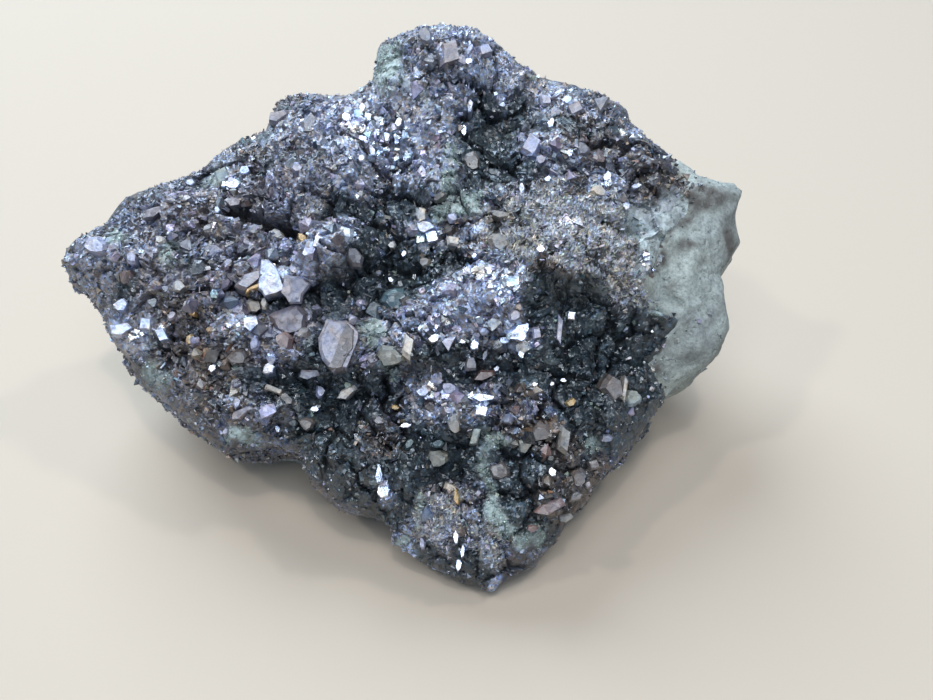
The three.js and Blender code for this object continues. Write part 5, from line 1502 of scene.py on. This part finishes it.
class Nodes:
    """Short ways to build a material's node tree."""

    def __init__(self, name):
        self.material = bpy.data.materials.new(name)
        self.material.use_nodes = True
        self.tree = self.material.node_tree
        self.shader = self.tree.nodes["Principled BSDF"]
        self.place = self.node("ShaderNodeTexCoord").outputs["Object"]

    def feed(self, socket, value):
        if isinstance(value, bpy.types.NodeSocket):
            self.tree.links.new(value, socket)
        else:
            socket.default_value = value

    def node(self, kind, inputs=(), **settings):
        """A new node with its settings, and its inputs fed by name or by number."""
        node = self.tree.nodes.new(kind)
        for key, value in settings.items():
            setattr(node, key, value)
        for key, value in dict(inputs).items():
            self.feed(node.inputs[key], value)
        return node

    def set(self, name, value):
        self.feed(self.shader.inputs[name], value)

    def math(self, operation, first, second=0.0, third=0.0):
        inputs = enumerate((first, second, third))
        return self.node("ShaderNodeMath", inputs, operation=operation).outputs[0]

    def times(self, first, second):
        return self.math("MULTIPLY", first, second)

    def plus(self, first, second):
        return self.math("ADD", first, second)

    def line(self, value, slope, start):
        return self.math("MULTIPLY_ADD", value, slope, start)

    def vector(self, operation, first, second):
        node = self.node("ShaderNodeVectorMath", enumerate((first, second)), operation=operation)
        return node.outputs["Value" if operation == "DOT_PRODUCT" else "Vector"]

    def turned(self, rotation, scale):
        """The place, turned and stretched."""
        inputs = {"Vector": self.place, "Rotation": rotation, "Scale": scale}
        return self.node("ShaderNodeMapping", inputs).outputs[0]

    def noise(self, scale, detail=4.0, roughness=0.6, place=None):
        inputs = {"Vector": place or self.place, "Scale": scale, "Detail": detail, "Roughness": roughness}
        return self.node("ShaderNodeTexNoise", inputs).outputs["Fac"]

    def channel(self, colour, name):
        return self.node("ShaderNodeSeparateColor", {0: colour}).outputs[name]

    def tipped(self, scale, steepness, place=None):
        """Heights of small flat cells, each tipped its own way, and their random colours."""
        place = place or self.place
        cells = self.node("ShaderNodeTexVoronoi", {"Vector": place, "Scale": scale})
        lean = self.vector("SUBTRACT", cells.outputs["Color"], (0.5, 0.5, 0.5))
        away = self.vector("SUBTRACT", place, cells.outputs["Position"])
        height = self.vector("DOT_PRODUCT", away, lean)
        return self.math("MULTIPLY", height, 2 * steepness), cells.outputs["Color"]

    def ramp(self, value, stops):
        node = self.node("ShaderNodeValToRGB", {"Fac": value})
        elements = node.color_ramp.elements
        while len(elements) < len(stops):
            elements.new(0.5)
        for element, (position, colour) in zip(elements, stops):
            element.position = position
            element.color = (*colour, 1)
        return node.outputs["Color"]

    def mix(self, factor, first, second, blend="MIX"):
        inputs = {0: factor, 6: first, 7: second}
        return self.node("ShaderNodeMix", inputs, data_type="RGBA", blend_type=blend).outputs[2]

    def shaded(self, strength, colour, value, stops):
        """A colour multiplied by the shades that a value picks."""
        return self.mix(strength, colour, self.ramp(value, stops), "MULTIPLY")

    def bump(self, height, distance=1.0, strength=1.0):
        inputs = {"Height": height, "Distance": distance, "Strength": strength}
        self.set("Normal", self.node("ShaderNodeBump", inputs).outputs["Normal"])

    def attribute(self, name, output="Fac"):
        return self.node("ShaderNodeAttribute", attribute_name=name).outputs[output]


def crystal_material():
    """Faceted crystals: colour, metal and dullness from each crystal, mottled, with growth relief."""
    nodes = Nodes("crystal_faces")
    colour = nodes.shaded(0.9, nodes.attribute("tint", "Color"), nodes.noise(2900, 6, 0.75), BLOTCHES)
    nodes.set("Base Color", nodes.shaded(0.6, colour, nodes.noise(1100, 3), WARM_AND_COOL))
    nodes.set("Metallic", nodes.attribute("metal"))
    patchy = nodes.line(nodes.noise(2300), 0.5, -0.2)
    nodes.set("Roughness", nodes.plus(nodes.attribute("dullness"), patchy))
    nodes.set("IOR", SPHALERITE_IOR)
    steps, _ = nodes.tipped(2600, 0.16)
    etch = nodes.times(nodes.noise(9000, 3, 0.7), 0.00004)
    nodes.bump(nodes.plus(steps, etch))
    return nodes.material


def moss_material():
    """Chlorite: dull green, finely grained."""
    nodes = Nodes("chlorite")
    nodes.set("Base Color", nodes.attribute("tint", "Color"))
    nodes.set("Roughness", 0.9)
    nodes.bump(nodes.noise(7000, 3), 0.00004, 0.6)
    return nodes.material


def ground_material():
    """The crust's ground: dark, with bright flecks that are small crystal faces tipped all ways."""
    nodes = Nodes("crust_ground")
    wide_height, wide_colour = nodes.tipped(4200, 0.55)
    long_height, long_colour = nodes.tipped(7000, 0.5, nodes.turned(*FIBROUS))
    fibre, dull = nodes.attribute("fibre"), nodes.attribute("dull")
    shine = nodes.math("SUBTRACT", 1.0, dull)
    colour = nodes.mix(fibre, wide_colour, long_colour)
    lot, level, warmth = (nodes.channel(colour, name) for name in ("Red", "Green", "Blue"))
    lit = nodes.math("LESS_THAN", lot, nodes.attribute("share"))
    strength = nodes.times(lit, nodes.line(level, 0.7, 0.3))
    bright = nodes.shaded(nodes.times(shine, 0.8), nodes.attribute("bright", "Color"), warmth, WARM_AND_COOL)
    nodes.set("Base Color", nodes.mix(strength, nodes.attribute("deep", "Color"), bright))
    nodes.set("Metallic", nodes.times(nodes.times(lit, 0.3), shine))
    nodes.set("Roughness", nodes.line(dull, 0.5, nodes.line(warmth, 0.3, 0.24)))
    nodes.set("IOR", GROUND_IOR)
    nodes.bump(nodes.plus(wide_height, nodes.times(long_height, fibre)))
    return nodes.material


def rock_material():
    """Host rock: sage grey, mottled, fine-grained, with dark specks, streaks, patina and darker brown
    patches.
    """
    nodes = Nodes("host_rock")
    colour = nodes.ramp(nodes.noise(230, 5, 0.62), ROCK_COLOURS)
    for strength, scale, detail, roughness, stretch, shades in ROCK_SHADES:
        place = nodes.turned(*stretch) if stretch else None
        colour = nodes.shaded(strength, colour, nodes.noise(scale, detail, roughness, place), shades)
    ragged = nodes.line(nodes.noise(900, 6, 0.7), 2.4, -0.3)
    darkened = nodes.times(nodes.attribute("darkening"), ragged)
    nodes.set("Base Color", nodes.mix(darkened, colour, DARK_PATCH_COLOUR))
    nodes.set("Roughness", 0.8)
    pitted = nodes.channel(nodes.ramp(nodes.noise(1300, 3, 0.5), PITS), "Red")
    grain = nodes.times(nodes.noise(2400, 6, 0.65), 0.00012)
    nodes.bump(nodes.plus(nodes.times(pitted, 0.0001), grain))
    return nodes.material


# ---------------------------------------------------------------- floor, light and camera

FLOOR_REACH = 600
FLOOR_COLOUR = (0.46, 0.38, 0.30, 1)
SKY_COLOUR, SKY_STRENGTH = (0.38, 0.64, 1.0, 1), 0.33
TARGET = Vector((0, 0, 0.012))  # where the lights point
# Lights: name, direction from the specimen, distance, width, radiance, colour.
LIGHTS = [
    ("overhead", (0.0, -0.36, 0.93), 0.36, 0.29, 4.5, (0.84, 0.92, 1.0)),
    ("window", (-0.35, 0.62, 0.70), 0.42, 0.30, 12.0, (0.70, 0.85, 1.0)),
    ("spark_left", (-0.55, -0.10, 0.83), 0.42, 0.03, 130.0, (1.0, 1.0, 1.0)),
    ("spark_right", (0.50, 0.15, 0.85), 0.42, 0.03, 130.0, (1.0, 0.98, 0.95)),
    ("spark_high", (0.05, -0.20, 0.98), 0.42, 0.03, 130.0, (1.0, 1.0, 1.0)),
]
CAMERA_PITCH = 46  # degrees below level
CAMERA_PLACE = FACE_CENTRE + (2.643, -54.743, 52.5)
LENS_MM = 40.1
SENSOR_MM = 36


def floor_plane():
    """A plain floor under the specimen."""
    corners = np.array([(a, b, 0) for a, b in ((-1, -1), (1, -1), (1, 1), (-1, 1))]) * FLOOR_REACH
    nodes = Nodes("pale_floor")
    nodes.set("Base Color", FLOOR_COLOUR)
    nodes.set("Roughness", 0.9)
    floor = make_object("floor", corners, np.array([(0, 1, 2), (0, 2, 3)]), nodes.material)


def studio():
    """The lights and the sky."""
    for name, direction, distance, width, radiance, colour in LIGHTS:
        data = bpy.data.lights.new(name, "AREA")
        data.shape = "DISK"
        data.size = width
        data.energy = radiance * math.pi * math.pi * (width / 2) ** 2
        data.color = colour
        light = added(name, data)
        away = Vector(direction).normalized()
        light.location = TARGET + distance * away
        light.rotation_euler = away.to_track_quat("Z", "Y").to_euler()
    world = bpy.data.worlds.new("studio")
    bpy.context.scene.world = world
    world.use_nodes = True
    background = world.node_tree.nodes["Background"]
    background.inputs["Color"].default_value = SKY_COLOUR
    background.inputs["Strength"].default_value = SKY_STRENGTH


def camera():
    """A camera that looks down at the face."""
    data = bpy.data.cameras.new("camera")
    data.lens = LENS_MM
    data.sensor_width = SENSOR_MM
    data.sensor_fit = "HORIZONTAL"
    data.clip_start = 0.001
    seen = added("camera", data)
    seen.location = Vector(CAMERA_PLACE * MM)
    seen.rotation_euler = (math.radians(90 - CAMERA_PITCH), 0, 0)
    bpy.context.scene.camera = seen
    bpy.context.scene.view_settings.view_transform = "Standard"


# ---------------------------------------------------------------- the specimen


def dress():
    """Every piece, tied to the root body, with the imported solids that it shows hidden."""
    crystal = crystal_material()
    surface = rock_surface()
    rock = rock_body(rock_material(), surface)
    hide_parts("matrix_rock")
    crust = [crust_ground(ground_material()), blocky_crystals(crystal), fine_druse(crystal),
             blades_and_needles(crystal), bladed_druse(crystal), chlorite_moss(moss_material()),
             hero_crystals(crystal), sparkling_patches(crystal), stray_grains(crystal, surface)]
    for piece in crust:
        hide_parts("crystal_crust")
    for piece in (rock, *crust):
        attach(piece, "root")
        print(piece.name, len(piece.data.polygons), "triangles")


floor_plane()
studio()
camera()
dress()
bpy.context.view_layer.update()
